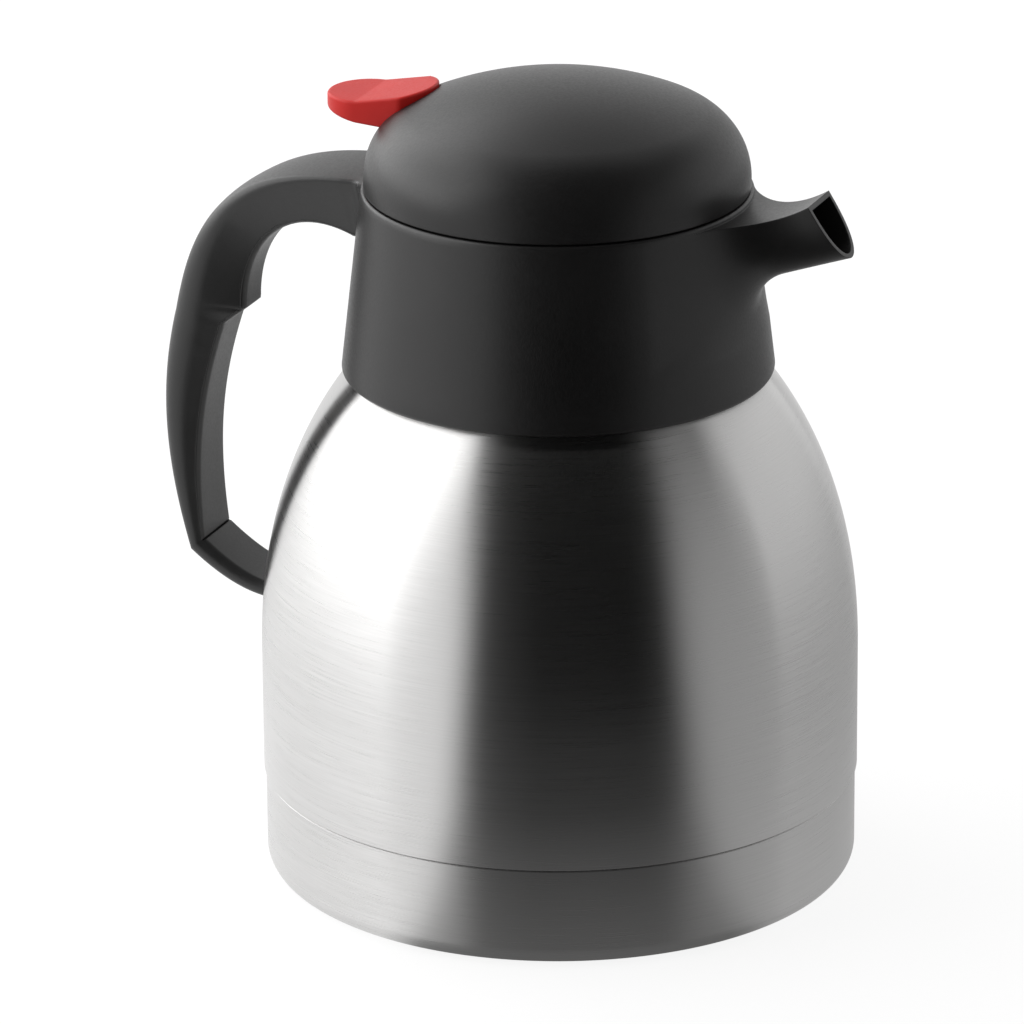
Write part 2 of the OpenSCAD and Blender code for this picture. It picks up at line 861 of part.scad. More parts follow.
// Bracket welded to the vessel, whose tongue goes into the handle's foot
module handle_bracket() {
  color("silver")
    difference() {
      union() {
        translate([-body_r - bracket_t - seat_gap, -bracket_w / 2, foot_z - bracket_h / 2])
          cube([bracket_t + past, bracket_w, bracket_h]);
        at_foot()
          translate([-tongue_l, -tongue_w / 2, -tongue_t / 2])
            cube([tongue_l, tongue_w, tongue_t]);
      }
      cylinder(r = body_r + seat_gap / 2, h = rim_z);
      at_screw() translate([0, 0, -screw_l]) cylinder(r = screw_r + seat_gap, h = 3 * screw_l);
    }
}

// Screw that holds the foot on the bracket
module handle_screw() {
  color("silver")
    at_screw() {
      cylinder(r = screw_r, h = screw_l);
      translate([0, 0, -screw_head_t]) cylinder(r = screw_head_r, h = screw_head_t);
    }
}

// Outline of the dome from its rim to its top, as far in from the outside as the inset
function dome_outline(inset) = concat(
  [
    for (i = [0 : knuckle_steps])
      let (a = crown_angle * i / knuckle_steps)
      [knuckle_x, knuckle_z] + (dome_knuckle_r - inset) * [cos(a), sin(a)]
  ],
  [
    for (i = [1 : crown_steps])
      let (a = mix(crown_angle, 90, i / crown_steps))
      [0, crown_z] + (dome_crown_r - inset) * [cos(a), sin(a)]
  ]
);

// Height of the middle of the dome's wall at a distance from the axis, on the rounded shoulder
function dome_middle(r) =
  knuckle_z + sqrt(pow(dome_knuckle_r - dome_wall / 2, 2) - pow(r - knuckle_x, 2));

// Outline of the slot that the lever works in, seen from above
module lever_plan(extra, tip_x) {
  intersection() {
    translate([-tip_x, -lever_w - extra])
      square([tip_x - lever_inner_x + extra, 2 * (lever_w + extra)]);
    union() {
      translate([-lever_end_centre, 0]) circle(r = lever_end_r + extra);
      translate([-tip_x, -lever_w - extra])
        square([tip_x - lever_end_centre, 2 * (lever_w + extra)]);
    }
  }
}

// Dome of the lid, with the lever's slot and bosses for the screws
module lid_cover() {
  boss_low = dome_middle(boss_ring_r + boss_r);
  boss_high = dome_middle(boss_ring_r - boss_r);
  color("dimgray")
    difference() {
      union() {
        rotate_extrude()
          polygon(concat(
            [[dome_r, seam_z]],
            dome_outline(0),
            [for (i = [knuckle_steps + crown_steps : -1 : 0]) dome_outline(dome_wall)[i]],
            [[dome_r - dome_wall, seam_z]]
          ));
        intersection() {
          for (a = boss_angles)
            rotate(a) translate([boss_ring_r, 0, plate_z + seat_gap]) cylinder(r = boss_r, h = 30);
          rotate_extrude()
            polygon([
              [0, seam_z],
              [boss_ring_r + boss_r, seam_z],
              [boss_ring_r + boss_r, boss_low],
              [boss_ring_r - boss_r, boss_high],
              [0, boss_high]
            ]);
        }
      }
      translate([0, 0, slot_z])
        linear_extrude(height = 30) lever_plan(slot_gap, lever_tip_x + past);
      for (a = boss_angles)
        rotate(a)
          translate([boss_ring_r, 0, plate_z])
            cylinder(r = lid_screw_r + seat_gap, h = lid_screw_l - plate_t + seat_gap);
    }
}

// Base of the lid: threaded skirt, stopper with pour windows and valve seat, ears for the lever
module lid_base() {
  color("dimgray")
    difference() {
      union() {
        translate([0, 0, seam_z]) cylinder(r = plate_r, h = plate_t);
        ring(skirt_r, skirt_r - skirt_wall, rim_z - thread_h, thread_h + seam_gap + plate_t / 2);
        difference() {
          translate([0, 0, stopper_z]) cylinder(r = stopper_r, h = seam_z + plate_t / 2 - stopper_z);
          translate([0, 0, seat_z])
            cylinder(r = stopper_r - stopper_wall, h = seam_z - seat_z);
        }
        translate([0, 0, guide_z]) cylinder(r = guide_r, h = seam_z + plate_t / 2 - guide_z);
        for (side = [1, -1]) lever_ear(side);
      }
      translate([0, 0, stopper_z - past]) cylinder(r = seat_hole_r, h = seat_t + 2 * past);
      translate([0, 0, guide_z - past])
        cylinder(r = stem_r + move_gap, h = plate_z - guide_z + 2 * past);
      ring(stopper_r + past, stopper_r - groove_depth, groove_z, groove_h);
      pour_windows();
      lever_pin_hole();
      for (a = boss_angles)
        rotate(a)
          translate([boss_ring_r, 0, seam_z - past])
            cylinder(r = lid_screw_r + seat_gap, h = plate_t + 2 * past);
    }
}

// Ear that carries one end of the lever's pin
module lever_ear(side) {
  y = side == 1 ? hub_w + move_gap : -hub_w - move_gap - ear_t;
  translate([-pivot_x, y, pivot_z]) rotate([-90, 0, 0]) cylinder(r = ear_r, h = ear_t);
  translate([-pivot_x - ear_r, y, plate_z - plate_t / 2])
    cube([2 * ear_r, ear_t, pivot_z - plate_z + plate_t / 2]);
}

// Windows round the stopper through which the drink leaves for the spout
module pour_windows() {
  width = window_share * 360 / window_count;
  for (i = [0 : window_count - 1])
    rotate(i * 360 / window_count)
      translate([0, 0, window_z])
        rotate([0, 0, -width / 2])
          rotate_extrude(angle = width)
            translate([stopper_r - stopper_wall - past, 0])
              square([stopper_wall + 2 * past, window_h]);
}

// Hole through both ears for the pin
module lever_pin_hole() {
  translate([-pivot_x, 0, pivot_z])
    rotate([90, 0, 0])
      cylinder(r = pin_r + run_gap / 2, h = 4 * hub_w, center = true);
}

// Lip seal on the stopper, in the vessel's neck
module lid_gasket() {
  color("whitesmoke")
    ring(
      inner_neck_r - steel_wall - move_gap, stopper_r - groove_depth + seat_gap,
      groove_z + seat_gap, groove_h - 2 * seat_gap
    );
}

// Screws that hold the dome on the base
module lid_screws() {
  color("silver")
    for (a = boss_angles)
      rotate(a)
        translate([boss_ring_r, 0, seam_z]) {
          cylinder(r = lid_screw_r, h = lid_screw_l - seat_gap);
          translate([0, 0, -lid_screw_head_t]) cylinder(r = lid_screw_head_r, h = lid_screw_head_t);
        }
}

// Pin the lever turns on
module lever_pin() {
  color("silver")
    translate([-pivot_x, 0, pivot_z])
      rotate([90, 0, 0])
        cylinder(r = pin_r, h = 2 * (hub_w + move_gap + ear_t), center = true);
}

// Side view of the thumb pad: flat outer facet, crease, rising inner facet
module pad_profile() {
  polygon([
    [-lever_tip_x, lever_tip_z],
    [-lever_tip_x, lever_top_z],
    [-lever_crease_x, lever_top_z],
    [-lever_inner_x, lever_top_z + lever_rise],
    [-lever_inner_x, lever_belly_z],
    [-lever_wall_x, lever_belly_z],
    [-lever_wall_x, lever_under_z - 0.1],
    [-lever_crease_x, lever_under_z + 0.6]
  ]);
}

// Thumb lever: pad outside the dome, hub on the pin, and a forked arm to the valve stem
module lever() {
  color("red")
    difference() {
      union() {
        intersection() {
          rotate([90, 0, 0]) linear_extrude(height = 4 * lever_w, center = true) pad_profile();
          union() {
            linear_extrude(height = 2 * rim_z)
              lever_plan(0, lever_crease_x);
            translate([-lever_crease_x - 0.4, 0, 0]) cylinder(r = lever_w, h = 2 * rim_z);
          }
        }
        translate([-pivot_x - hub_r, -hub_w, pivot_z])
          cube([2 * hub_r, 2 * hub_w, lever_belly_z - pivot_z + 0.5]);
        translate([-pivot_x, 0, pivot_z])
          rotate([90, 0, 0]) cylinder(r = hub_r, h = 2 * hub_w, center = true);
        translate([-pivot_x, -arm_w, arm_bottom])
          cube([pivot_x + fork_end, 2 * arm_w, arm_top - arm_bottom]);
      }
      translate([-pivot_x, 0, pivot_z])
        rotate([90, 0, 0]) cylinder(r = pin_r + run_gap, h = 4 * hub_w, center = true);
      translate([0, 0, arm_bottom - past]) {
        cylinder(r = stem_r + fork_gap, h = arm_top - arm_bottom + 2 * past);
        translate([0, -stem_r - fork_gap, 0])
          cube([fork_end + past, 2 * (stem_r + fork_gap), arm_top - arm_bottom + 2 * past]);
      }
    }
}

// Stem of the valve, with a head under the seal
module valve_stem() {
  color("lightgray") {
    translate([0, 0, valve_seal_z - stem_head_t]) cylinder(r = stem_head_r, h = stem_head_t);
    translate([0, 0, valve_seal_z]) cylinder(r = stem_r, h = stem_top - valve_seal_z - seat_gap);
  }
}

// Cap on the stem, which the lever's fork lifts
module stem_cap() {
  color("dimgray")
    difference() {
      translate([0, 0, cap_z]) cylinder(r = cap_r, h = cap_t);
      translate([0, 0, cap_z - past]) cylinder(r = stem_r + seat_gap / 2, h = cap_t + past - 0.8);
      translate([0, 0, cap_z - past]) cylinder(r = stem_r + seat_gap / 2, h = cap_t + 2 * past);
    }
}

// Disc that carries the valve's seal
module valve_disc() {
  color("dimgray") ring(disc_r, stem_r + seat_gap / 2, disc_z, disc_t);
}

// Seal that closes the hole in the stopper
module valve_gasket() {
  color("whitesmoke") ring(valve_seal_r, stem_r + seat_gap / 2, valve_seal_z, valve_seal_t);
}

// Spring that closes the valve: one wire wound round the stem
module valve_spring() {
  rings_per_turn = 8;
  wire_sides = 6;
  rings = spring_turns * rings_per_turn;
  length = spring_head - spring_foot - 2 * spring_wire_r;
  sections = [
    for (i = [0 : rings])
      let (a = 360 * i / rings_per_turn, z = spring_foot + spring_wire_r + length * i / rings)
      [
        for (k = [0 : wire_sides - 1])
          let (b = 360 * k / wire_sides, r = spring_r + spring_wire_r * cos(b))
          [r * cos(a), r * sin(a), z + spring_wire_r * sin(b)]
      ]
  ];
  echo(spring_gap = length / spring_turns - 2 * spring_wire_r);
  color("silver") loft(sections);
}

outer_shell();
inner_vessel();
bottom_pan();
vacuum_seal();
getter();
base_cup();
neck_ring();
neck_gasket();
collar();
handle_shell();
handle_strip();
handle_bracket();
handle_screw();
lid_gasket();
lid_base();
lid_cover();
lid_screws();
lever_pin();
lever();
valve_stem();
stem_cap();
valve_disc();
valve_gasket();
valve_spring();
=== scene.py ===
import math
import bmesh
import bpy
import numpy as np
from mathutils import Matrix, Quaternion, Vector


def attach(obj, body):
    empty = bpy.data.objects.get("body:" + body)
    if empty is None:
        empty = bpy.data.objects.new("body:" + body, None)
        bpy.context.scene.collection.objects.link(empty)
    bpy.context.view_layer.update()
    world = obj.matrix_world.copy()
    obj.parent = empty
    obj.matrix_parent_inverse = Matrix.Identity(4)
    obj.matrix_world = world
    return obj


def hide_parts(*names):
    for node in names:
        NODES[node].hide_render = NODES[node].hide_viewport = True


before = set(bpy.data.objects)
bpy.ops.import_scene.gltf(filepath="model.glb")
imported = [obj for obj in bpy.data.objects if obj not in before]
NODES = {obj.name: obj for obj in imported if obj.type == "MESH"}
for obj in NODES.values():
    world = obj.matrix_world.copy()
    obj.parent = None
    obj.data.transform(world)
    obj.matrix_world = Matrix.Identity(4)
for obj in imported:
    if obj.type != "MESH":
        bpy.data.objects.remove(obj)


MM = 0.001
for start_up in ("Cube", "Light", "Camera"):
    if start_up in bpy.data.objects:
        bpy.data.objects.remove(bpy.data.objects[start_up])
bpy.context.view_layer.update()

# ---------------------------------------------------------------- sizes, in millimetres
BODY_R, SIDE_TOP, SHOULDER_H, POWER = 72.5, 55.3, 95.9, 2.1
WALL, NECK_R, NECK_H = 0.8, 33.5, 7.1
BASE_H, BASE_R, BASE_EDGE = 24.5, 72.0, 4.6
BASE_RING, BASE_RECESS = 50.0, 2.0
STEP_Z = BASE_H + 0.4
LOW_R = BASE_R - WALL - 0.1
NECK_T = (1 - (NECK_R / BODY_R) ** 2) ** (1 / POWER)
NECK_FOOT = SIDE_TOP + SHOULDER_H * NECK_T
NECK_TOP = NECK_FOOT + NECK_H
FLOOR_UNDER = NECK_TOP + 1.4
FLOOR_Z = FLOOR_UNDER + 2.2
RIM_R, BORE_R = 46.9, 43.2
RIM_Z = NECK_TOP + 23.4
COLLAR_H = 45.4
COLLAR_Z = RIM_Z - COLLAR_H
SEAM_Z = RIM_Z + 0.3
EDGE_R = 1.3
RIM_EDGE = 0.6


def shoulder(z):
    """Radius of the vessel's outside at a height on its shoulder."""
    t = np.maximum(0, (np.asarray(z, float) - SIDE_TOP) / SHOULDER_H)
    return BODY_R * np.sqrt(np.maximum(0, 1 - t ** POWER))


COLLAR_R = float(shoulder(COLLAR_Z)) + 2.3
COLLAR_FOOT = float(shoulder(COLLAR_Z)) + 0.3
SLOPE = (COLLAR_R - RIM_R) / COLLAR_H


def wall_r(z):
    """Radius of the collar's outside at a height."""
    return RIM_R + (RIM_Z - np.asarray(z, float)) * SLOPE


# ---------------------------------------------------------------- mesh helpers
def make(name, verts, faces, angle=30.0):
    """Mesh object from points in millimetres, smooth except at edges sharper than the angle."""
    mesh = bpy.data.meshes.new(name)
    points = [tuple(float(c) * MM for c in point) for point in verts]
    mesh.from_pydata(points, [], [tuple(map(int, face)) for face in faces])
    mesh.validate()
    mesh.update()
    smooth(mesh, angle)
    piece = bpy.data.objects.new(name, mesh)
    bpy.context.scene.collection.objects.link(piece)
    return piece


def smooth(mesh, angle):
    """Shades every face smooth, except at edges sharper than the angle."""
    for polygon in mesh.polygons:
        polygon.use_smooth = True
    mesh.set_sharp_from_angle(angle=math.radians(angle))


def face_outwards(piece, angle, weld=0.0):
    """Turns every face outwards, once points closer than weld metres are joined."""
    work = bmesh.new()
    work.from_mesh(piece.data)
    if weld:
        bmesh.ops.remove_doubles(work, verts=work.verts, dist=weld)
    bmesh.ops.recalc_face_normals(work, faces=work.faces)
    work.to_mesh(piece.data)
    work.free()
    piece.data.set_sharp_from_angle(angle=math.radians(angle))


def revolve(name, profile, count=288, angle=30.0):
    """Closed profile of (radius, height), counter-clockwise, turned about the axis."""
    rows = len(profile)
    verts = []
    for k in range(count):
        turn = 2 * math.pi * k / count
        c, s = math.cos(turn), math.sin(turn)
        verts += [(r * c, r * s, z) for r, z in profile]
    faces = []
    for k in range(count):
        here, after = k * rows, ((k + 1) % count) * rows
        for i in range(rows):
            j = (i + 1) % rows
            faces.append((here + i, after + i, after + j, here + j))
    return make(name, verts, faces, angle)


def loft(name, sections, angle=30.0):
    """Closed skin over sections with the same number of points."""
    around, count = len(sections[0]), len(sections)
    verts = [point for section in sections for point in section]
    faces = []
    for row in range(count - 1):
        for i in range(around):
            a, b = row * around + i, row * around + (i + 1) % around
            faces.append((a, b, b + around, a + around))
    faces.append(tuple(range(around - 1, -1, -1)))
    faces.append(tuple((count - 1) * around + i for i in range(around)))
    return make(name, verts, faces, angle)


def upright(name, outline, z0, z1):
    """Outline of (x, y) points, drawn out along Z."""
    return loft(name, [[(x, y, z) for x, y in outline] for z in (z0, z1)])


def prism(name, outline, y0, y1):
    """Outline of (x, z) points, drawn out along Y."""
    return loft(name, [[(x, y, z) for x, z in outline] for y in (y0, y1)])


def circle_points(cx, cy, r, degrees):
    """Points on a circle at each of the angles."""
    return [(cx + r * math.cos(math.radians(a)), cy + r * math.sin(math.radians(a))) for a in degrees]


def arc(cx, cy, r, a0, a1, count):
    """Points on an arc from one angle to another, in degrees."""
    return circle_points(cx, cy, r, [a0 + (a1 - a0) * i / count for i in range(count + 1)])


def mixed(a, b, t):
    """Value on the way from a to b."""
    return a + (b - a) * t


def apply_modifiers(piece, angle):
    """Puts the mesh that the modifiers make in place of the piece's own."""
    depsgraph = bpy.context.evaluated_depsgraph_get()
    depsgraph.update()
    mesh = bpy.data.meshes.new_from_object(piece.evaluated_get(depsgraph))
    piece.modifiers.clear()
    old = piece.data
    piece.data = mesh
    bpy.data.meshes.remove(old)
    smooth(mesh, angle)


def cut(piece, tool, angle=30.0):
    """Takes the tool's volume out of the piece, and removes the tool."""
    boolean = piece.modifiers.new("cut", "BOOLEAN")
    boolean.operation = "DIFFERENCE"
    boolean.solver = "EXACT"
    boolean.object = tool
    apply_modifiers(piece, angle)
    bpy.data.objects.remove(tool)


def bevel(piece, width, segments):
    """Rounds the piece's edges by a width in millimetres."""
    rounding = piece.modifiers.new("bevel", "BEVEL")
    rounding.width = width * MM
    rounding.segments = segments
    rounding.limit_method = "ANGLE"
    rounding.angle_limit = math.radians(30)
    rounding.harden_normals = False
    apply_modifiers(piece, 40.0)


# ---------------------------------------------------------------- materials
class Nodes:
    """Short calls for the nodes that the materials and the studio are made of."""

    def __init__(self, tree):
        self.tree = tree
        self.coord = tree.nodes.new("ShaderNodeTexCoord")

    def node(self, kind, **values):
        node = self.tree.nodes.new(kind)
        for name, value in values.items():
            if hasattr(node, name):
                setattr(node, name, value)
            else:
                node.inputs[name].default_value = value
        return node

    def link(self, output, socket):
        self.tree.links.new(output, socket)

    def math(self, operation, *values):
        """Result of a sum on outputs or numbers."""
        node = self.node("ShaderNodeMath", operation=operation)
        for i, value in enumerate(values):
            if isinstance(value, (int, float)):
                node.inputs[i].default_value = value
            else:
                self.link(value, node.inputs[i])
        return node.outputs[0]

    def noise(self, scale, detail, rough, vector=None):
        """Noise in the object's own space, or over another vector."""
        node = self.node("ShaderNodeTexNoise", Scale=scale, Detail=detail, Roughness=rough)
        if vector is None:
            vector = self.coord.outputs["Object"]
        self.link(vector, node.inputs["Vector"])
        return node.outputs["Fac"]

    def remap(self, value, low, high, to_low, to_high, kind="LINEAR"):
        node = self.node("ShaderNodeMapRange", interpolation_type=kind)
        names = ("From Min", "From Max", "To Min", "To Max")
        for name, number in zip(names, (low, high, to_low, to_high)):
            node.inputs[name].default_value = number
        self.link(value, node.inputs["Value"])
        return node.outputs["Result"]

    def ramp(self, value, stops):
        """Colour by position, through stops of (position, colour)."""
        node = self.node("ShaderNodeValToRGB")
        elements = node.color_ramp.elements
        while len(elements) > 1:
            elements.remove(elements[-1])
        elements[0].position = stops[0][0]
        elements[0].color = (*stops[0][1], 1)
        for position, color in stops[1:]:
            elements.new(position).color = (*color, 1)
        self.link(value, node.inputs["Fac"])
        return node.outputs["Color"]

    def mix(self, share, first, second):
        """Blend of two colours, each of them an output or a grey level."""
        node = self.node("ShaderNodeMix", data_type="RGBA")
        self.link(share, node.inputs[0])
        for value, socket in ((first, node.inputs[6]), (second, node.inputs[7])):
            if isinstance(value, (int, float)):
                socket.default_value = (value, value, value, 1)
            else:
                self.link(value, socket)
        return node.outputs[2]


class Shader(Nodes):
    """Procedural material round a Principled shader."""

    def __init__(self, name):
        self.material = bpy.data.materials.new(name)
        self.material.use_nodes = True
        super().__init__(self.material.node_tree)
        self.surface = self.tree.nodes["Principled BSDF"]

    def set(self, name, value):
        """Gives one of the surface's inputs a number or a colour."""
        self.surface.inputs[name].default_value = value

    def drive(self, name, output):
        """Links an output to one of the surface's inputs."""
        self.link(output, self.surface.inputs[name])

    def bump(self, heights, edge=0.0):
        """Stacks bumps of (value, depth in mm, strength). edge rounds the corners in the shading, in mm."""
        last = None
        if edge:
            corner = self.node("ShaderNodeBevel", samples=6, Radius=edge * MM)
            last = corner.outputs["Normal"]
        for value, depth, strength in heights:
            node = self.node("ShaderNodeBump", Strength=strength, Distance=depth * MM)
            self.link(value, node.inputs["Height"])
            if last is not None:
                self.link(last, node.inputs["Normal"])
            last = node.outputs["Normal"]
        self.drive("Normal", last)


def scaled(color, factor):
    return tuple(min(1, c * factor) for c in color)


def plastic(name, dark, light, rough, grain, specular, edge=0.0):
    """Moulded plastic: a fine grain, slight mottling and a little change in gloss."""
    s = Shader(name)
    mottle = s.noise(55, 3, 0.55)
    fine = s.noise(1500, 2, 0.6)
    speck = s.noise(4200, 1, 0.5)
    s.drive("Base Color", s.ramp(mottle, [(0.3, dark), (0.7, light)]))
    s.drive("Roughness", s.remap(fine, 0.3, 0.7, rough - 0.04, rough + 0.05))
    s.set("Specular IOR Level", specular)
    s.bump([(fine, grain, 0.55), (speck, grain * 0.4, 0.4)], edge)
    return s.material


BRUSH_DEPTH = 0.004            # millimetres
ACROSS_LINES = 0.25            # a quarter turn: reflections are drawn out across the brushing


def steel(name, tone, rough, lines, anisotropy):
    """Brushed steel: fine lines round the axis, with the reflections drawn out across them."""
    s = Shader(name)
    xyz = s.node("ShaderNodeSeparateXYZ")
    s.link(s.coord.outputs["Object"], xyz.inputs[0])
    turn = s.math("ARCTAN2", xyz.outputs["Y"], xyz.outputs["X"])
    cosine = s.math("COSINE", turn)
    sine = s.math("SINE", turn)

    def field(around, up, detail):
        """Noise that varies slowly round the axis and quickly up it."""
        place = s.node("ShaderNodeCombineXYZ")
        s.link(s.math("MULTIPLY", cosine, around), place.inputs["X"])
        s.link(s.math("MULTIPLY", sine, around), place.inputs["Y"])
        s.link(s.math("MULTIPLY", xyz.outputs["Z"], up), place.inputs["Z"])
        return s.noise(1.0, detail, 0.65, place.outputs[0])

    fine = field(5.0, 9000 * lines, 3)
    middle = field(2.0, 2600 * lines, 2)
    broad = s.noise(22, 2, 0.5)
    brushing = s.math("ADD", s.math("MULTIPLY", fine, 0.6), s.math("MULTIPLY", middle, 0.4))
    s.drive("Base Color", s.ramp(brushing, [(0.30, scaled(tone, 0.90)), (0.70, scaled(tone, 1.07))]))
    streaks = s.remap(brushing, 0.3, 0.7, rough - 0.05, rough + 0.05)
    s.drive("Roughness", s.math("ADD", streaks, s.remap(broad, 0.3, 0.7, -0.012, 0.012)))
    s.set("Metallic", 1.0)
    s.set("Anisotropic", anisotropy)
    s.set("Anisotropic Rotation", ACROSS_LINES)
    s.drive("Tangent", s.node("ShaderNodeTangent", direction_type="RADIAL", axis="Z").outputs[0])
    s.bump([(fine, BRUSH_DEPTH, 0.5), (middle, BRUSH_DEPTH, 0.35)])
    return s.material


def bright(name, tone=(0.62, 0.61, 0.60), rough=0.24):
    """Plain machined or drawn metal."""
    s = Shader(name)
    grain = s.noise(900, 3, 0.6)
    s.drive("Base Color", s.ramp(grain, [(0.3, scaled(tone, 0.88)), (0.7, tone)]))
    s.drive("Roughness", s.remap(grain, 0.3, 0.7, rough - 0.05, rough + 0.07))
    s.set("Metallic", 1.0)
    s.bump([(grain, 0.01, 0.3)])
    return s.material


def silicone(name, tone=(0.72, 0.72, 0.70)):
    """Soft, slightly translucent seal."""
    s = Shader(name)
    grain = s.noise(700, 3, 0.6)
    s.drive("Base Color", s.ramp(grain, [(0.3, scaled(tone, 0.93)), (0.7, tone)]))
    s.drive("Roughness", s.remap(grain, 0.3, 0.7, 0.42, 0.55))
    s.set("Subsurface Weight", 0.25)
    s.set("Subsurface Radius", (0.003, 0.003, 0.003))
    s.bump([(grain, 0.02, 0.3)])
    return s.material


M_SHELL = steel("steel_brushed_shell", (0.64, 0.635, 0.63), 0.30, 1.0, 1.0)
M_CUP = steel("steel_brushed_cup", (0.62, 0.615, 0.61), 0.30, 1.05, 1.0)
M_LINER = steel("steel_drawn_liner", (0.56, 0.555, 0.55), 0.28, 0.5, 0.45)
M_BRIGHT = bright("steel_bright")
M_BEAD = bright("metal_dull_bead", (0.42, 0.42, 0.43), 0.45)
M_GETTER = bright("metal_grey_getter", (0.20, 0.19, 0.18), 0.55)
# name, dark, light, roughness, grain in mm, specular, rounding of edges in mm
M_COLLAR = plastic("plastic_collar", (0.0080, 0.0076, 0.0076), (0.0115, 0.0110, 0.0110),
                   0.38, 0.03, 0.58, 0.35)
M_LID = plastic("plastic_lid", (0.0095, 0.0090, 0.0090), (0.013, 0.0125, 0.0125),
                0.40, 0.03, 0.50, 0.4)
M_HANDLE = plastic("plastic_handle", (0.014, 0.0138, 0.0138), (0.018, 0.0178, 0.0178),
                   0.40, 0.02, 0.6, 0.4)
M_STRIP = plastic("plastic_handle_inner", (0.0145, 0.0143, 0.0143), (0.0185, 0.0183, 0.0183),
                  0.40, 0.02, 0.6, 0.3)
M_DARK = plastic("plastic_inner", (0.022, 0.022, 0.022), (0.028, 0.028, 0.028), 0.5, 0.03, 0.45)
M_LEVER = plastic("plastic_lever", (0.60, 0.014, 0.011), (0.68, 0.020, 0.015),
                  0.44, 0.02, 0.30, 0.3)
M_SEAL = silicone("silicone_seal")

# ---------------------------------------------------------------- vessel
SHELL_FOOT_Z = 4.0
SHOULDER_STEPS = 72


def shoulder_line(radius, height):
    """Points up the shoulder, from the straight side to the neck."""
    points = []
    for i in range(SHOULDER_STEPS + 1):
        t = NECK_T * math.sin(math.pi / 2 * i / SHOULDER_STEPS)
        points.append((radius * math.sqrt(1 - t ** POWER), SIDE_TOP + height * t))
    return points


inside_line = shoulder_line(BODY_R - WALL, SHOULDER_H - WALL)
inside_line[-1] = (NECK_R - WALL, inside_line[-1][1])
shell_profile = (
    [(LOW_R, SHELL_FOOT_Z), (LOW_R, STEP_Z)]
    + arc(BODY_R - 0.25, STEP_Z + 0.25, 0.25, -90, 0, 4)
    + [(BODY_R, 40.0)]
    + shoulder_line(BODY_R, SHOULDER_H)
    + [(NECK_R, NECK_TOP - WALL), (NECK_R - WALL, NECK_TOP - WALL)]
    + inside_line[::-1]
    + [(BODY_R - WALL, STEP_Z + WALL), (LOW_R - WALL, STEP_Z + WALL), (LOW_R - WALL, SHELL_FOOT_Z)]
)
shell = revolve("shell_skin", shell_profile, 360)
shell.data.materials.append(M_SHELL)
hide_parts("outer_shell")
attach(shell, "vessel")

cup_profile = (
    [(0.01, BASE_RECESS), (BASE_RING - 0.6, BASE_RECESS)]
    + arc(BASE_RING - 0.6, BASE_RECESS - 0.6, 0.6, 90, 0, 3)
    + [(BASE_RING, 0.3), (BASE_RING + 0.3, 0.0)]
    + arc(BASE_R - BASE_EDGE, BASE_EDGE, BASE_EDGE, -90, 0, 16)
    + [(BASE_R, BASE_H - 0.2), (BASE_R - 0.2, BASE_H), (BASE_R - WALL, BASE_H)]
    + arc(BASE_R - BASE_EDGE, BASE_EDGE, BASE_EDGE - WALL, 0, -90, 10)
    + [(BASE_RING + WALL, WALL), (BASE_RING + WALL, BASE_RECESS + WALL), (0.01, BASE_RECESS + WALL)]
)
cup = revolve("cup_skin", cup_profile, 360)
cup.data.materials.append(M_CUP)
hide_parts("base_cup")
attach(cup, "vessel")

# ---------------------------------------------------------------- collar with its spout
SPOUT_REACH, SPOUT_RISE, SPOUT_W = 19.3, 5.5, 7.1
MOUTH_D, TILT, UNDER = 15.9, math.radians(32.3), math.radians(19)
SIDE_BLEND, UNDER_BLEND, SPOUT_WALL = 24.0, 12.2, 1.2
ROOT_Z = RIM_Z - 1.05
FLAT_END = RIM_R + 0.3
# upper and lower lip of the mouth
MX, MZ = RIM_R + SPOUT_REACH, ROOT_Z + SPOUT_RISE
LX, LZ = MX + MOUTH_D * math.sin(TILT), MZ - MOUTH_D * math.cos(TILT)
RUN = MX - FLAT_END
TOP_ARC = (RUN ** 2 + SPOUT_RISE ** 2) / (2 * SPOUT_RISE)
TOP_R = float(wall_r(ROOT_Z))
# centre of the blend at the spout's side, and where it leaves the cone
SCY = SPOUT_W + SIDE_BLEND
SCX = math.sqrt((TOP_R + SIDE_BLEND) ** 2 - SCY ** 2)
STX = SCX * TOP_R / (TOP_R + SIDE_BLEND)
# centre and angles of the blend under the spout, which touches its underside and the wall
n_u = (math.sin(UNDER), -math.cos(UNDER))
n_w = (1 / math.hypot(1, SLOPE), SLOPE / math.hypot(1, SLOPE))
off_u = n_u[0] * LX + n_u[1] * LZ + UNDER_BLEND
off_w = n_w[0] * COLLAR_R + n_w[1] * COLLAR_Z + UNDER_BLEND
det = n_u[0] * n_w[1] - n_u[1] * n_w[0]
BX = (off_u * n_w[1] - n_u[1] * off_w) / det
BZ = (n_u[0] * off_w - off_u * n_w[0]) / det
A0, A1 = 180 + math.degrees(math.atan(SLOPE)), 90 + math.degrees(UNDER)
ROOT_X = RIM_R - 5.7


def spout_half(x):
    """Half the spout's width at a distance from the axis."""
    if x < STX:
        return math.sqrt(TOP_R ** 2 - x ** 2)
    if x < SCX:
        return SCY - math.sqrt(SIDE_BLEND ** 2 - (SCX - x) ** 2)
    return SPOUT_W


def spout_top(x):
    """Height of the spout's top edge: level at first, then an arc up to the mouth."""
    if x < FLAT_END:
        return ROOT_Z
    return ROOT_Z + TOP_ARC - math.sqrt(TOP_ARC ** 2 - (x - FLAT_END) ** 2)


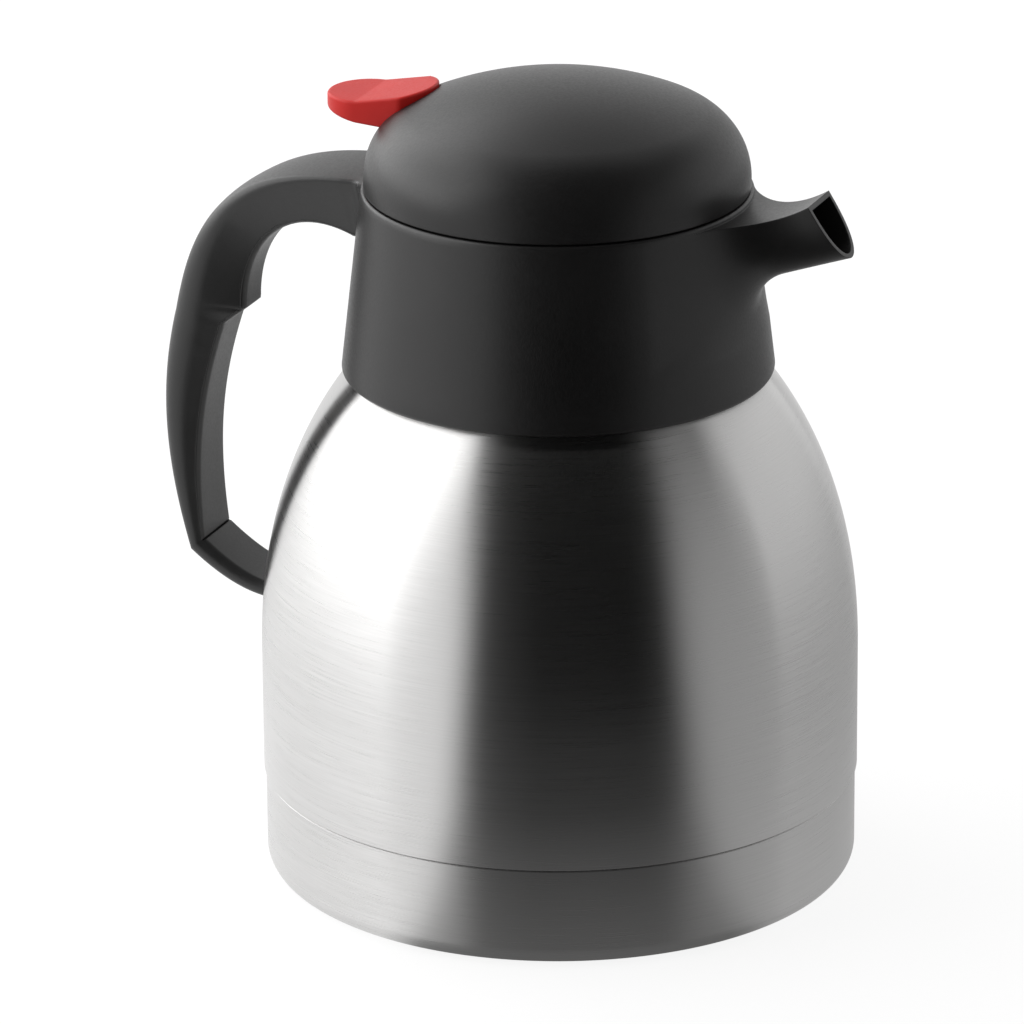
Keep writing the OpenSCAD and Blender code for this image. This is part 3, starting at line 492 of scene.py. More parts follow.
def spout_bottom(t):
    """Point on the underside, (x, z): the blend for half the way, then straight to the lip."""
    a = math.radians(A0 + (A1 - A0) * min(1, 2 * t))
    p = (BX + UNDER_BLEND * math.cos(a), BZ + UNDER_BLEND * math.sin(a))
    if t < 0.5:
        return p
    w = 2 * t - 1
    return (p[0] + (LX - p[0]) * w, p[1] + (LZ - p[1]) * w)


def section_point(top, bottom, half, power, a):
    """Point of a section that is flat on top, at an angle from 0 to pi under it."""
    v = math.sin(a) ** (2 / power)
    return (top[0] + (bottom[0] - top[0]) * v, half * math.cos(a), top[1] + (bottom[1] - top[1]) * v)


def outer_point(t, a):
    """Point on the spout's outside, with t from its root to its mouth."""
    x = ROOT_X + (MX - ROOT_X) * t
    p = section_point((x, spout_top(x)), spout_bottom(t), spout_half(x), 1.15 + 1.65 * t ** 0.6, a)
    return np.array(p)


def on_cone(p):
    """The same point moved out or in to the collar's wall."""
    r = math.hypot(p[0], p[1])
    k = float(wall_r(p[2])) / r
    return np.array([p[0] * k, p[1] * k, p[2]])


MERIDIANS = 240
STEP = 360 / MERIDIANS         # degrees between the collar's meridians
DEGREE_MM = 0.83               # millimetres round the wall for one degree
SIDE = 28                      # meridians on each side of the spout's patch
Z_LOW, Z_TOP = 138.5, RIM_Z - RIM_EDGE
CONE_ROWS = 22
z_lines = [Z_LOW + (Z_TOP - Z_LOW) * i / CONE_ROWS for i in range(CONE_ROWS + 1)]
verts, faces, index = [], [], {}


def vertex(key, p):
    """Number of the point with this key, which is added if it is new."""
    if key not in index:
        index[key] = len(verts)
        verts.append(tuple(p))
    return index[key]


def cone_vertex(k, zi):
    """Number of the wall's point on a meridian and a height line."""
    a = math.radians(STEP * k)
    z = z_lines[zi]
    r = float(wall_r(z))
    return vertex(("c", k % MERIDIANS, zi), (r * math.cos(a), r * math.sin(a), z))


# the boundary of the patch, from the top on the +Y side, down, across and up again
theta0 = math.degrees(math.atan2(spout_half(ROOT_X), ROOT_X))
TOP_HALF = int(theta0 / STEP)
path = [(k, CONE_ROWS) for k in range(TOP_HALF, SIDE + 1)]
path += [(SIDE, zi) for zi in range(CONE_ROWS - 1, -1, -1)]
path += [(k, 0) for k in range(SIDE - 1, -SIDE - 1, -1)]
path += [(-SIDE, zi) for zi in range(1, CONE_ROWS + 1)]
path += [(k, CONE_ROWS) for k in range(-SIDE + 1, -TOP_HALF + 1)]
top_cols = list(range(-TOP_HALF, TOP_HALF + 1))


def flat(p):
    """Place of a point on the wall when it is unrolled, in millimetres."""
    return np.array([math.degrees(math.atan2(p[1], p[0])) * DEGREE_MM, p[2]])


def lengths(pts):
    """Share of the line's length at each of its points."""
    d = [0.0]
    for a, b in zip(pts, pts[1:]):
        d.append(d[-1] + float(np.linalg.norm(b - a)))
    return np.array(d) / d[-1]


bound = [np.array([STEP * k * DEGREE_MM, z_lines[zi]]) for k, zi in path]
fine_a = np.linspace(0, math.pi, 1201)
seam_fine = [on_cone(outer_point(0, a)) for a in fine_a]
seam_len = lengths([flat(p) for p in seam_fine])
# angles matched to the boundary by a mix of length and direction seen from the middle
mid = np.array([0.0, 160.0])


def bearing(p):
    """Direction of a point seen from the middle of the patch."""
    d = p - mid
    return math.atan2(d[0], -d[1])


seam_bear = np.array([bearing(flat(p)) for p in seam_fine])
bound_bear = np.array([bearing(b) for b in bound])
bound_len = lengths(bound)
want = []
for i in range(len(bound)):
    by_len = np.interp(bound_len[i], seam_len, fine_a)
    by_dir = np.interp(-bound_bear[i], -seam_bear, fine_a)
    want.append(0.35 * by_len + 0.65 * by_dir)
want = np.maximum.accumulate(np.array(want))
want = (want - want[0]) / (want[-1] - want[0]) * math.pi
for i in range(1, len(want)):
    want[i] = max(want[i], want[i - 1] + 1e-4)
want = want / want[-1] * math.pi
AROUND = len(want)
SPOUT_ROWS = 64


def skin_point(j, i):
    """Point of the spout's skin, which starts on the wall and leaves it within the first rows."""
    t = (j / SPOUT_ROWS) ** 1.35
    root = outer_point(0, want[i])
    return outer_point(t, want[i]) + (on_cone(root) - root) * (1 - t) ** 6


RINGS = 10
for i in range(AROUND):
    vertex(("s", 0, i), skin_point(0, i))
for i in range(AROUND):
    s0 = np.array(verts[index[("s", 0, i)]])
    f0 = np.array([math.degrees(math.atan2(s0[1], s0[0])), s0[2]])
    k, zi = path[i]
    f1 = np.array([STEP * k, z_lines[zi]])
    for g in range(1, RINGS):
        f = mixed(f0, f1, g / RINGS)
        r = float(wall_r(f[1]))
        a = math.radians(f[0])
        vertex(("g", g, i), (r * math.cos(a), r * math.sin(a), f[1]))


def ring_vertex(g, i):
    """Number of a point between the spout's root, ring 0, and the edge of the patch."""
    if g == 0:
        return index[("s", 0, i)]
    if g == RINGS:
        return cone_vertex(*path[i])
    return index[("g", g, i)]


for g in range(RINGS):
    for i in range(AROUND - 1):
        inner = (ring_vertex(g, i), ring_vertex(g, i + 1))
        faces.append((*inner, ring_vertex(g + 1, i + 1), ring_vertex(g + 1, i)))


def sheet(kind, rows, columns):
    """Faces over the points of one kind, between its rows and neighbouring columns."""
    for j in range(rows):
        for here, after in zip(columns, columns[1:]):
            near_side = (index[(kind, j, here)], index[(kind, j + 1, here)])
            faces.append((*near_side, index[(kind, j + 1, after)], index[(kind, j, after)]))


def seam(kind, row, other, columns):
    """Faces from a row of one kind to the first row of another."""
    for here, after in zip(columns, columns[1:]):
        near_side = (index[(kind, row, here)], index[(other, 0, here)])
        faces.append((*near_side, index[(other, 0, after)], index[(kind, row, after)]))


# the spout's sides and underside
for j in range(1, SPOUT_ROWS + 1):
    for i in range(AROUND):
        vertex(("s", j, i), skin_point(j, i))
sheet("s", SPOUT_ROWS, range(AROUND))
# the spout's top
corner = verts[index[("s", 0, 0)]]
corner_angle = math.degrees(math.atan2(corner[1], corner[0]))
for j in range(SPOUT_ROWS + 1):
    edge = verts[index[("s", j, 0)]]
    x_side, half = edge[0], edge[1]
    w = (x_side - corner[0]) / (MX - corner[0])
    for k in top_cols:
        if k == TOP_HALF:
            index[("t", j, k)] = index[("s", j, 0)]
        elif k == -TOP_HALF:
            index[("t", j, k)] = index[("s", j, AROUND - 1)]
        else:
            a = math.radians(k / TOP_HALF * corner_angle)
            x = mixed(TOP_R * math.cos(a), MX, w)
            across = TOP_R * math.sin(a) / corner[1]
            vertex(("t", j, k), (x, across * half, spout_top(x)))
sheet("t", SPOUT_ROWS, top_cols)
# the little step from the spout's top to the rim
for k in top_cols[:-1]:
    a, b = index[("t", 0, k)], index[("t", 0, k + 1)]
    faces.append((a, b, cone_vertex(k + 1, CONE_ROWS), cone_vertex(k, CONE_ROWS)))
# the rest of the cone
for k in range(SIDE, MERIDIANS - SIDE):
    for zi in range(CONE_ROWS):
        low = (cone_vertex(k, zi), cone_vertex(k + 1, zi))
        faces.append((*low, cone_vertex(k + 1, zi + 1), cone_vertex(k, zi + 1)))


def band(lines, start):
    """Rings about the axis, joined to each other and to the row of points already made."""
    row = start
    for r, z in lines:
        first = len(verts)
        for k in range(MERIDIANS):
            a = math.radians(STEP * k)
            verts.append((r * math.cos(a), r * math.sin(a), z))
        for k in range(MERIDIANS):
            after = (k + 1) % MERIDIANS
            faces.append((row[k], row[after], first + after, first + k))
        row = range(first, first + MERIDIANS)


RIM_SKIN_END = 169.6           # the rim's skin ends here inside the bore
BOWL_TOP = 169.7
LOW_LINES = (137.5, 136.0, 134.0, 132.0, 130.5)
top_row = [cone_vertex(k, CONE_ROWS) for k in range(MERIDIANS)]
rim_lines = arc(RIM_R - RIM_EDGE, RIM_Z - RIM_EDGE, RIM_EDGE, 0, 90, 5)[1:]
rim_lines += [(BORE_R + 1.4, RIM_Z), (BORE_R + 0.4, RIM_Z)]
rim_lines += arc(BORE_R + 0.4, RIM_Z - 0.4, 0.4, 90, 180, 3)[1:] + [(BORE_R, RIM_SKIN_END)]
band(rim_lines, top_row)
low_row = [cone_vertex(k, 0) for k in range(MERIDIANS)]
foot_c = float(wall_r(COLLAR_Z + EDGE_R)) - EDGE_R
stop_a = -math.degrees(math.acos((COLLAR_FOOT - foot_c) / EDGE_R))
low_lines = [(float(wall_r(z)), z) for z in (*LOW_LINES, COLLAR_Z + EDGE_R)]
low_lines += arc(foot_c, COLLAR_Z + EDGE_R, EDGE_R, 0, stop_a, 9)[1:]
low_lines += [(COLLAR_FOOT - 0.4, COLLAR_Z + 0.6), (COLLAR_FOOT - 1.6, COLLAR_Z + EDGE_R)]
low_lines += [(COLLAR_FOOT - 1.9, 131.0)]
before = len(faces)
band(low_lines, low_row)
faces[before:] = [f[::-1] for f in faces[before:]]

# the mouth's rim and the channel behind it
down = np.array([math.sin(TILT), -math.cos(TILT)])
ROOF_END = np.array([MX, MZ]) + SPOUT_WALL * down
FLOOR_END = np.array([LX, LZ]) - SPOUT_WALL * down
CH_X, CH_Z, CH_W = BORE_R - 5, FLOOR_Z + 0.8, 11.0
CHANNEL_POWER = 2.5


def channel_ends(t):
    """Top point, low point and half width of the channel, with t from the bowl to the mouth."""
    x = CH_X + (ROOF_END[0] - CH_X) * t
    z = ROOF_END[1] if t >= 1 else min(spout_top(x) - SPOUT_WALL, ROOF_END[1])
    low = np.array([CH_X, CH_Z]) * (1 - t) + FLOOR_END * t
    return (x, z), tuple(low), min(CH_W, spout_half(x) - SPOUT_WALL)


def channel_point(t, a):
    """Point on the channel's sides and floor, at an angle from 0 to pi."""
    top, low, half = channel_ends(t)
    return np.array(section_point(top, low, half, CHANNEL_POWER, a))


def channel_roof(t, across):
    """Point on the channel's flat top, with across from -1 to 1."""
    top, _, half = channel_ends(t)
    return np.array([top[0], across * half, top[1]])


def channel_stop(point, place):
    """Share of the channel's length at which a line meets the bowl's wall."""
    lo, hi = 0.0, 1.0
    for _ in range(40):
        m = (lo + hi) / 2
        p = point(m, place)
        if math.hypot(p[0], p[1]) < BORE_R - 0.02:
            lo = m
        else:
            hi = m
    return hi


def channel_line(kind, column, point, place):
    """Points of one line of the channel, from the mouth in to the bowl's wall."""
    stop = channel_stop(point, place)
    for j in range(CHANNEL_ROWS + 1):
        vertex((kind, j, column), point(mixed(1, stop, j / CHANNEL_ROWS), place))


CHANNEL_ROWS = 30
for i in range(AROUND):
    channel_line("n", i, channel_point, want[i])
for k in range(-TOP_HALF + 1, TOP_HALF):
    channel_line("m", k, channel_roof, k / TOP_HALF)
for j in range(CHANNEL_ROWS + 1):
    index[("m", j, TOP_HALF)] = index[("n", j, 0)]
    index[("m", j, -TOP_HALF)] = index[("n", j, AROUND - 1)]
sheet("n", CHANNEL_ROWS, range(AROUND))
sheet("m", CHANNEL_ROWS, top_cols)
seam("s", SPOUT_ROWS, "n", range(AROUND))
seam("t", SPOUT_ROWS, "m", top_cols)

# the crease where the spout meets the cone is eased by moving its points towards their neighbours
near = {}
for i in range(1, AROUND - 1):
    w = min(1.0, i / 5, (AROUND - 1 - i) / 5)
    for g in range(RINGS):
        near[ring_vertex(g, i)] = w * min(1.0, (RINGS - g) / 6)
    for j in range(1, 15):
        near[index[("s", j, i)]] = w * min(1.0, (15 - j) / 8)
links = {a: set() for a in near}
for face in faces:
    for a, b in zip(face, face[1:] + face[:1]):
        if a in links:
            links[a].add(b)
        if b in links:
            links[b].add(a)
pts = np.array(verts, float)
ids = np.array(list(near))
weight = np.array([near[a] for a in ids])[:, None]
reach = max(len(links[a]) for a in ids)
table = np.array([list(links[a]) + [a] * (reach - len(links[a])) for a in ids])
count = np.array([len(links[a]) for a in ids])[:, None]
for _ in range(60):
    total = pts[table].sum(axis=1) - pts[ids] * (reach - count)
    pts[ids] += 0.6 * weight * (total / count - pts[ids])
verts = [tuple(q) for q in pts]

collar = make("collar_skin", verts, faces, 38.0)
face_outwards(collar, 38.0)
collar.data.materials.append(M_COLLAR)
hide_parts("collar")
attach(collar, "vessel")

bowl_profile = [
    (BORE_R, BOWL_TOP), (BORE_R, FLOOR_Z + 0.8), (BORE_R - 0.8, FLOOR_Z),
    (31.3, FLOOR_Z), (31.0, FLOOR_Z - 0.3),
    (31.0, FLOOR_UNDER), (35.5, FLOOR_UNDER), (35.5, NECK_FOOT + 1),
    (37.5, NECK_FOOT + 1), (37.5, FLOOR_UNDER),
    (float(wall_r(FLOOR_UNDER)) - 2.4, FLOOR_UNDER), (COLLAR_FOOT - 1.56, COLLAR_Z + EDGE_R),
    (COLLAR_FOOT - 1.2, COLLAR_Z + EDGE_R),
    (float(wall_r(FLOOR_UNDER)) - 1.0, FLOOR_UNDER), (float(wall_r(BOWL_TOP)) - 1.0, BOWL_TOP),
]
bowl = revolve("collar_bowl", bowl_profile, MERIDIANS)
tool_sections = []
TOOL_ROWS = 40
for j in range(TOOL_ROWS + 1):
    t = -0.02 + 0.62 * j / TOOL_ROWS
    tool_sections.append([channel_point(t, math.pi * i / 40) for i in range(41)])
tool = loft("channel_tool", tool_sections)
cut(bowl, tool)
bowl.data.materials.append(M_COLLAR)
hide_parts("collar")
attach(bowl, "vessel")

# ---------------------------------------------------------------- handle
GRIP_REACH, HAND_W, ROOT_W, HAND_IN, LOW_IN, EDGE_IN = 26.2, 10.0, 12.2, 3.9, 5.3, 2.0
ARM_D, GRIP_D, GRIP_LOW, CORNER_D = 17.2, 18.7, 13.6, 5.6
FOOT_Z, FOOT_W, FOOT_IN = 60.7, 9.0, 7.0
ARM_Z = RIM_Z - 0.05
ARM_X = RIM_R + 4.3
ARM_U = ARM_Z - ARM_D
GX = BODY_R + GRIP_REACH       # the back of the grip
STOP_Z = ARM_Z - 40.3
CX, CZ = GX - 3.4, FOOT_Z + 8  # the lower corner
HALF_T = 2.1
BACK_R, ARM_R, CROWN_IN, FILLET = 5.5, 0.8, 0.4, 2.4
# Bezier curves of the handle's back and front, as (distance behind the axis, height)
back_up = [(ARM_X, ARM_Z), (ARM_X + 25.5, ARM_Z - 0.1), (GX - 5.9, STOP_Z + 30.2), (GX, STOP_Z)]
back_low = [(GX, STOP_Z), (GX + 5.6, STOP_Z - 20.7), (CX + 6.8, CZ + 21.8), (CX, CZ)]
back_foot = [(CX, CZ), (CX - 6.5, CZ - 5.3), (BODY_R + 8, FOOT_Z - HALF_T), (BODY_R - 0.7, FOOT_Z - HALF_T)]
front_up = [(ARM_X, ARM_U), (ARM_X + 14.4, ARM_U + 6.2), (GX - GRIP_D - 1, STOP_Z + 22.5),
            (GX - GRIP_D, STOP_Z + 3.2)]
front_low = [(GX - GRIP_LOW + 0.2, STOP_Z - 2.8), (GX - 6.6, STOP_Z - 22.5), (CX - 1.9, CZ + 24),
             (CX - 0.72 * CORNER_D, CZ + 0.65 * CORNER_D)]
front_foot = [front_low[3], (CX - 8.6, CZ - 0.1), (BODY_R + 6.5, FOOT_Z + HALF_T),
              (BODY_R - 0.7, FOOT_Z + HALF_T)]
UP_SHARE = 0.94                # share of back_up that lies opposite front_up
BACK_SHARE = 0.42              # the back's corner takes this share of a thin section's depth


def bez(p, t):
    """Point on a Bezier curve of four points."""
    p = [np.array(q, float) for q in p]
    return p[0] * (1 - t) ** 3 + 3 * p[1] * t * (1 - t) ** 2 + 3 * p[2] * t * t * (1 - t) + p[3] * t ** 3


def fillet(d):
    """Extra width where the arm meets the collar, at a distance from it."""
    left = FILLET - max(0.0, min(d, FILLET))
    return FILLET - math.sqrt(FILLET ** 2 - left ** 2)


# each row is (back point, front point, half width, half width inside, radius of the back's corner)
rows = []
side_x, low_x = RIM_R - 1.1, RIM_R + SLOPE * ARM_D - 0.3
for x in [RIM_R - 5] + list(np.linspace(side_x, ARM_X - 0.2, 16)):
    under = np.array([x, ARM_U - fillet(x - low_x)])
    rows.append((np.array([x, ARM_Z]), under, ROOT_W + fillet(x - side_x), HAND_IN, ARM_R))
for i in range(61):
    t = i / 60
    width = mixed(ROOT_W, HAND_W, min(1, 1.6 * t))
    corner_r = mixed(ARM_R, BACK_R, t ** 1.3)
    rows.append((bez(back_up, UP_SHARE * t), bez(front_up, t), width, HAND_IN, corner_r))
edge_a, low0 = bez(front_up, 1), bez(front_low, 0)
edge_b = np.array([GX - GRIP_D + 0.9, STOP_Z + 0.7])
stop_line = [edge_a + np.array([0.0, -1.0]), edge_a + np.array([0.1, -1.8]), edge_b + np.array([-0.35, 0.35])]
stop_line += [mixed(edge_b, low0, t) for t in (0, 0.3, 0.6, 0.85)]
for k, front in enumerate(stop_line):
    u = (k + 1) / (len(stop_line) + 1)
    inside = mixed(HAND_IN, LOW_IN, max(0, u * 1.6 - 0.6))
    rows.append((bez(back_up, mixed(UP_SHARE, 1, u)), front, HAND_W, inside, BACK_R))
for i in range(57):
    t = i / 56
    b, f = bez(back_low, t), bez(front_low, t)
    corner_r = min(BACK_R, BACK_SHARE * float(np.linalg.norm(f - b)))
    rows.append((b, f, mixed(HAND_W, FOOT_W, t), mixed(LOW_IN, FOOT_IN, t ** 1.5), corner_r))
foot_rows = []
for i in range(25):
    t = mixed(0.03, 1, i / 24)
    b, f = bez(back_foot, t), bez(front_foot, t)
    corner_r = min(BACK_R, BACK_SHARE * float(np.linalg.norm(f - b)))
    foot_rows.append((b, f, FOOT_W, FOOT_IN, corner_r))


def hand_parts(row):
    """Centres and radii of the two rounded corners, and the direction in which the side faces."""
    b, f, w, wi, br = row
    depth = float(np.linalg.norm(f - b))
    fr = min(EDGE_IN, depth / 4)
    c1, c2 = (br + CROWN_IN, w - br), (depth - fr, wi)
    dx, dy = c2[0] - c1[0], c2[1] - c1[1]
    lean = math.atan2(dy, dx) + math.acos((br - fr) / math.hypot(dx, dy))
    return depth, c1, br, c2, fr, lean


def round_off(c, r, a0, a1, count):
    """Points on an arc about c from one angle to another, in radians."""
    angles = [mixed(a0, a1, k / count) for k in range(count + 1)]
    return [(c[0] + r * math.cos(a), c[1] + r * math.sin(a)) for a in angles]


def placed(row, half):
    """Whole section from its near half, laid along the line from the back to the front."""
    b, f = row[0], row[1]
    run = (f - b) / float(np.linalg.norm(f - b))
    pts = half + [(x, -y) for x, y in half[::-1] if y > 0]
    return [(-(b + run * x)[0], -y, (b + run * x)[1]) for x, y in pts]


def hand_section(row, cover):
    """Section of the handle. Where the inner strip covers it, its front is flat behind the strip."""
    depth, c1, br, c2, fr, lean = hand_parts(row)
    tilt = math.atan2(2 * CROWN_IN, c1[1])
    start = (c1[0] - br * math.cos(tilt), c1[1] + br * math.sin(tilt))
    half = [(start[0] * (k / 6) ** 2, start[1] * k / 6) for k in range(6)]
    arc_pts = round_off(c1, br, math.pi - tilt, lean, 12)
    front = round_off(c2, fr, lean, 0, 5) + [(depth, 0.0)]
    last, first = arc_pts[-1], front[0]
    side = [(mixed(last[0], first[0], k / 6), mixed(last[1], first[1], k / 6)) for k in range(1, 6)]
    if cover:
        back = first[0] - 0.03
        front = [(back, first[1] * k / 6) for k in range(6, -1, -1)]
        side[-1] = (min(side[-1][0], back - 0.05), side[-1][1])
    return placed(row, half + arc_pts + side + front)


def strip_section(row):
    """Section of the strip let into the handle's inner face."""
    depth, _, _, c2, fr, lean = hand_parts(row)
    front = round_off(c2, fr, lean, 0, 12)
    back = [(front[0][0], front[0][1] * k / 3) for k in range(3)]
    return placed(row, back + front + [(depth, c2[1] * 0.5), (depth, 0.0)])


sections = [hand_section(row, True) for row in rows] + [hand_section(row, False) for row in foot_rows]
handle = loft("handle_skin", sections, 28)
strip = loft("handle_inner_skin", [strip_section(row) for row in rows], 28)
for ob, node, mat in ((handle, "handle_shell", M_HANDLE), (strip, "handle_strip", M_STRIP)):
    ob.data.materials.append(mat)
    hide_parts(node)
    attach(ob, "vessel")

# ---------------------------------------------------------------- lid
DOME_R, SKIRT_H, KNUCKLE, CROWN, DOME_WALL = 46.3, 2.2, 18.0, 88.0, 2.2
KX, KZ = DOME_R - KNUCKLE, SEAM_Z + SKIRT_H
DROP = math.sqrt((CROWN - KNUCKLE) ** 2 - KX ** 2)
CROWN_Z = KZ - DROP
CROWN_A = math.degrees(math.atan2(DROP, KX))


def dome_line(inset, side_count, top_count):
    """Profile of the dome, or of its inside: a tight arc up the side and a wide one over the top."""
    side = arc(KX, KZ, KNUCKLE - inset, 0, CROWN_A, side_count)
    top = arc(0, CROWN_Z, CROWN - inset, CROWN_A, 90, top_count)[1:]
    top[-1] = (0.01, top[-1][1])
    return side + top


dome_profile = ([(DOME_R - DOME_WALL, SEAM_Z), (DOME_R - 0.3, SEAM_Z)]
                + arc(DOME_R - 0.3, SEAM_Z + 0.3, 0.3, -90, 0, 3)
                + dome_line(0, 40, 30) + dome_line(DOME_WALL, 20, 12)[::-1])
dome = revolve("dome_skin", dome_profile, 320)
PIVOT_X, PIVOT_Z = -(DOME_R - 13.1), SEAM_Z + 10.9
LEV_W, CREASE_X, INNER_X = 10.0, DOME_R + 1.9, DOME_R - 15
LEV_TOP = SEAM_Z + 18.3
LEV_RISE = 3.2
TIP_C = CREASE_X + 0.4         # centre of the rounded tip
TIP_X = TIP_C + LEV_W
BULGE = 5.2
END_R = (LEV_W ** 2 + BULGE ** 2) / (2 * BULGE)
END_C = INNER_X + END_R


def inner_end(extra):
    """Half of the lever's inner end in plan, as (x, y) from the middle out to its side."""
    r = END_R + extra
    reach = math.asin((LEV_W + extra) / r)
    return [(-END_C + r * math.cos(reach * k / 24), r * math.sin(reach * k / 24)) for k in range(25)]


def both_sides(half):
    """Whole outline from the half on the +Y side."""
    return half + [(x, -y) for x, y in half[-2:0:-1]]


SLOT_GAP = 0.45
slot_half = inner_end(SLOT_GAP) + [(-TIP_X - 3, LEV_W + SLOT_GAP), (-TIP_X - 3, 0)]
slot_z = PIVOT_Z - 1.2
cut(dome, upright("slot_tool", both_sides(slot_half), slot_z, slot_z + 30), 35)
dome.data.materials.append(M_LID)
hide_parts("lid_cover")
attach(dome, "lid")

# ---------------------------------------------------------------- lever
BELLY_Z = PIVOT_Z + 3.6
UNDER_Z = LEV_TOP - 6
TIP_T = 3.6
WALL_X = 5.4 - PIVOT_X
CREASE_EASE = 0.00245          # rounds the crease, in square millimetres
EDGE_ROUND = 0.7
ACROSS = 14                    # strips across the pad


def lever_top(x):
    """Height of the pad's top: level outside the crease, and rising from it towards the dome."""
    rise = (CREASE_X + x) * LEV_RISE / (CREASE_X - INNER_X)
    return LEV_TOP + (rise + math.sqrt(rise * rise + CREASE_EASE)) / 2 if rise > -2 else LEV_TOP


def lever_under(x):
    """Height of the pad's underside, in three parts."""
    back = -x
    if back > CREASE_X:
        return mixed(UNDER_Z + 0.6, LEV_TOP - TIP_T, (back - CREASE_X) / (TIP_X - CREASE_X))
    if back > WALL_X:
        return mixed(UNDER_Z - 0.1, UNDER_Z + 0.6, (back - WALL_X) / (CREASE_X - WALL_X))
    return BELLY_Z


def pad_outline():
    """Whole plan of the pad, with points added at the crease and at the step under it."""
    half = inner_end(0)
    half += [(mixed(half[-1][0], -TIP_C, k / 10), LEV_W) for k in range(1, 11)]
    quarter = [math.pi / 2 * k / 24 for k in range(1, 25)]
    half += [(-TIP_C - LEV_W * math.sin(a), LEV_W * math.cos(a)) for a in quarter]
    loop = both_sides(half)
    added = [-CREASE_X + d for d in (-0.6, -0.3, -0.12, 0, 0.12, 0.3, 0.6)]
    added += [-WALL_X - 0.01, -WALL_X + 0.01]
    outline = []
    for here, after in zip(loop, loop[1:] + loop[:1]):
        outline.append(here)
        between = [x for x in added if min(here[0], after[0]) < x < max(here[0], after[0])]
        for x in sorted(between, reverse=here[0] > after[0]):
            outline.append((x, mixed(here[1], after[1], (x - here[0]) / (after[0] - here[0]))))
    return outline


def pad_mesh():
    """Points and faces of the pad, with its edge rounded above and below."""
    outline = pad_outline()
    count = len(outline)
    beside = [(outline[i - 1], outline[(i + 1) % count]) for i in range(count)]
    area = sum(x * after[1] - after[0] * y for (x, y), (_, after) in zip(outline, beside))
    side = 1 if area > 0 else -1
    inwards = []
    for before, after in beside:
        dx, dy = after[0] - before[0], after[1] - before[1]
        length = math.hypot(dx, dy)
        inwards.append((-side * dy / length, side * dx / length))
    verts, faces = [], []

    def ring(inset, height):
        """Adds the outline drawn in by a distance, at a height that depends on x."""
        first = len(verts)
        for (x, y), (nx, ny) in zip(outline, inwards):
            verts.append((x + nx * inset, y + ny * inset, height(x + nx * inset)))
        return range(first, len(verts))

    def fill(edge, height, flip):
        """Closes the space inside a ring with strips across it."""
        middle = count // 2
        columns = []
        for i in range(middle + 1):
            a, b = edge[i], edge[(count - i) % count]
            if i in (0, middle):
                columns.append([a] * (ACROSS + 1))
                continue
            column = [a]
            for k in range(1, ACROSS):
                x, y = (mixed(verts[a][c], verts[b][c], k / ACROSS) for c in (0, 1))
                column.append(len(verts))
                verts.append((x, y, height(x)))
            columns.append(column + [b])
        for here, after in zip(columns, columns[1:]):
            for k in range(ACROSS):
                corners = list(dict.fromkeys((here[k], here[k + 1], after[k + 1], after[k])))
                if len(corners) > 2:
                    faces.append(corners[::-1] if flip else corners)

    angles = np.linspace(math.pi / 2, 0, 6)
    rounding = [(EDGE_ROUND * (1 - math.cos(a)), EDGE_ROUND * (1 - math.sin(a))) for a in angles]
    rings = [ring(inset, lambda x: lever_top(x) - drop) for inset, drop in rounding]
    rings += [ring(inset, lambda x: lever_under(x) + drop) for inset, drop in rounding[::-1]]
    for upper, lower in zip(rings, rings[1:]):
        for i in range(count):
            j = (i + 1) % count
            faces.append((upper[i], upper[j], lower[j], lower[i]))
    fill(rings[0], lever_top, False)
    fill(rings[-1], lever_under, True)
    return verts, faces


pad = make("lever_pad", *pad_mesh(), 50)
face_outwards(pad, 50, 1e-7)
pad.data.materials.append(M_LEVER)

HUB, HUB_W, PIN_BORE = 3.0, 6.0, 1.55
ARM_TOP, ARM_BOT, ARM_W = PIVOT_Z + 2.4, PIVOT_Z - 1.2, 5.0
FORK, FORK_R = 6.0, 3.0
hub_outline = (
    [(PIVOT_X + HUB, BELLY_Z + 0.6)]
    + circle_points(PIVOT_X, PIVOT_Z, HUB, range(0, -181, -10))
    + [(PIVOT_X - HUB, BELLY_Z + 0.6)]
)
hub = prism("lever_hub", hub_outline, -HUB_W, HUB_W)
cut(hub, prism("bore_tool", circle_points(PIVOT_X, PIVOT_Z, PIN_BORE, range(0, 360, 10)), -10, 10))
arm_outline = [(PIVOT_X + 2, ARM_BOT), (FORK, ARM_BOT), (FORK, ARM_TOP), (PIVOT_X + 2, ARM_TOP)]
arm = prism("lever_arm", arm_outline, -ARM_W, ARM_W)
fork_outline = circle_points(0, 0, FORK_R, range(90, 271, 10)) + [(FORK + 2, -FORK_R), (FORK + 2, FORK_R)]
cut(arm, upright("fork_tool", fork_outline, ARM_BOT - 1, ARM_TOP + 1))
for ob in (hub, arm):
    bevel(ob, 0.35, 2)
    ob.data.materials.append(M_LEVER)
for ob in (pad, hub, arm):
    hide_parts("lever")
    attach(ob, "lever")

# ---------------------------------------------------------------- nodes kept from the frame
KEEP = {
    "inner_vessel": M_LINER, "bottom_pan": M_LINER, "handle_bracket": M_LINER,
    "vacuum_seal": M_BEAD, "getter": M_GETTER,
    "neck_ring": M_DARK, "lid_base": M_DARK, "stem_cap": M_DARK, "valve_disc": M_DARK,
    "neck_gasket": M_SEAL, "lid_gasket": M_SEAL, "valve_gasket": M_SEAL,
    "handle_screw": M_BRIGHT, "lid_screws": M_BRIGHT, "lever_pin": M_BRIGHT,
    "valve_stem": M_BRIGHT, "valve_spring": M_BRIGHT,
}
for name, mat in KEEP.items():
    ob = NODES[name]
    ob.data.materials.clear()
    ob.data.materials.append(mat)

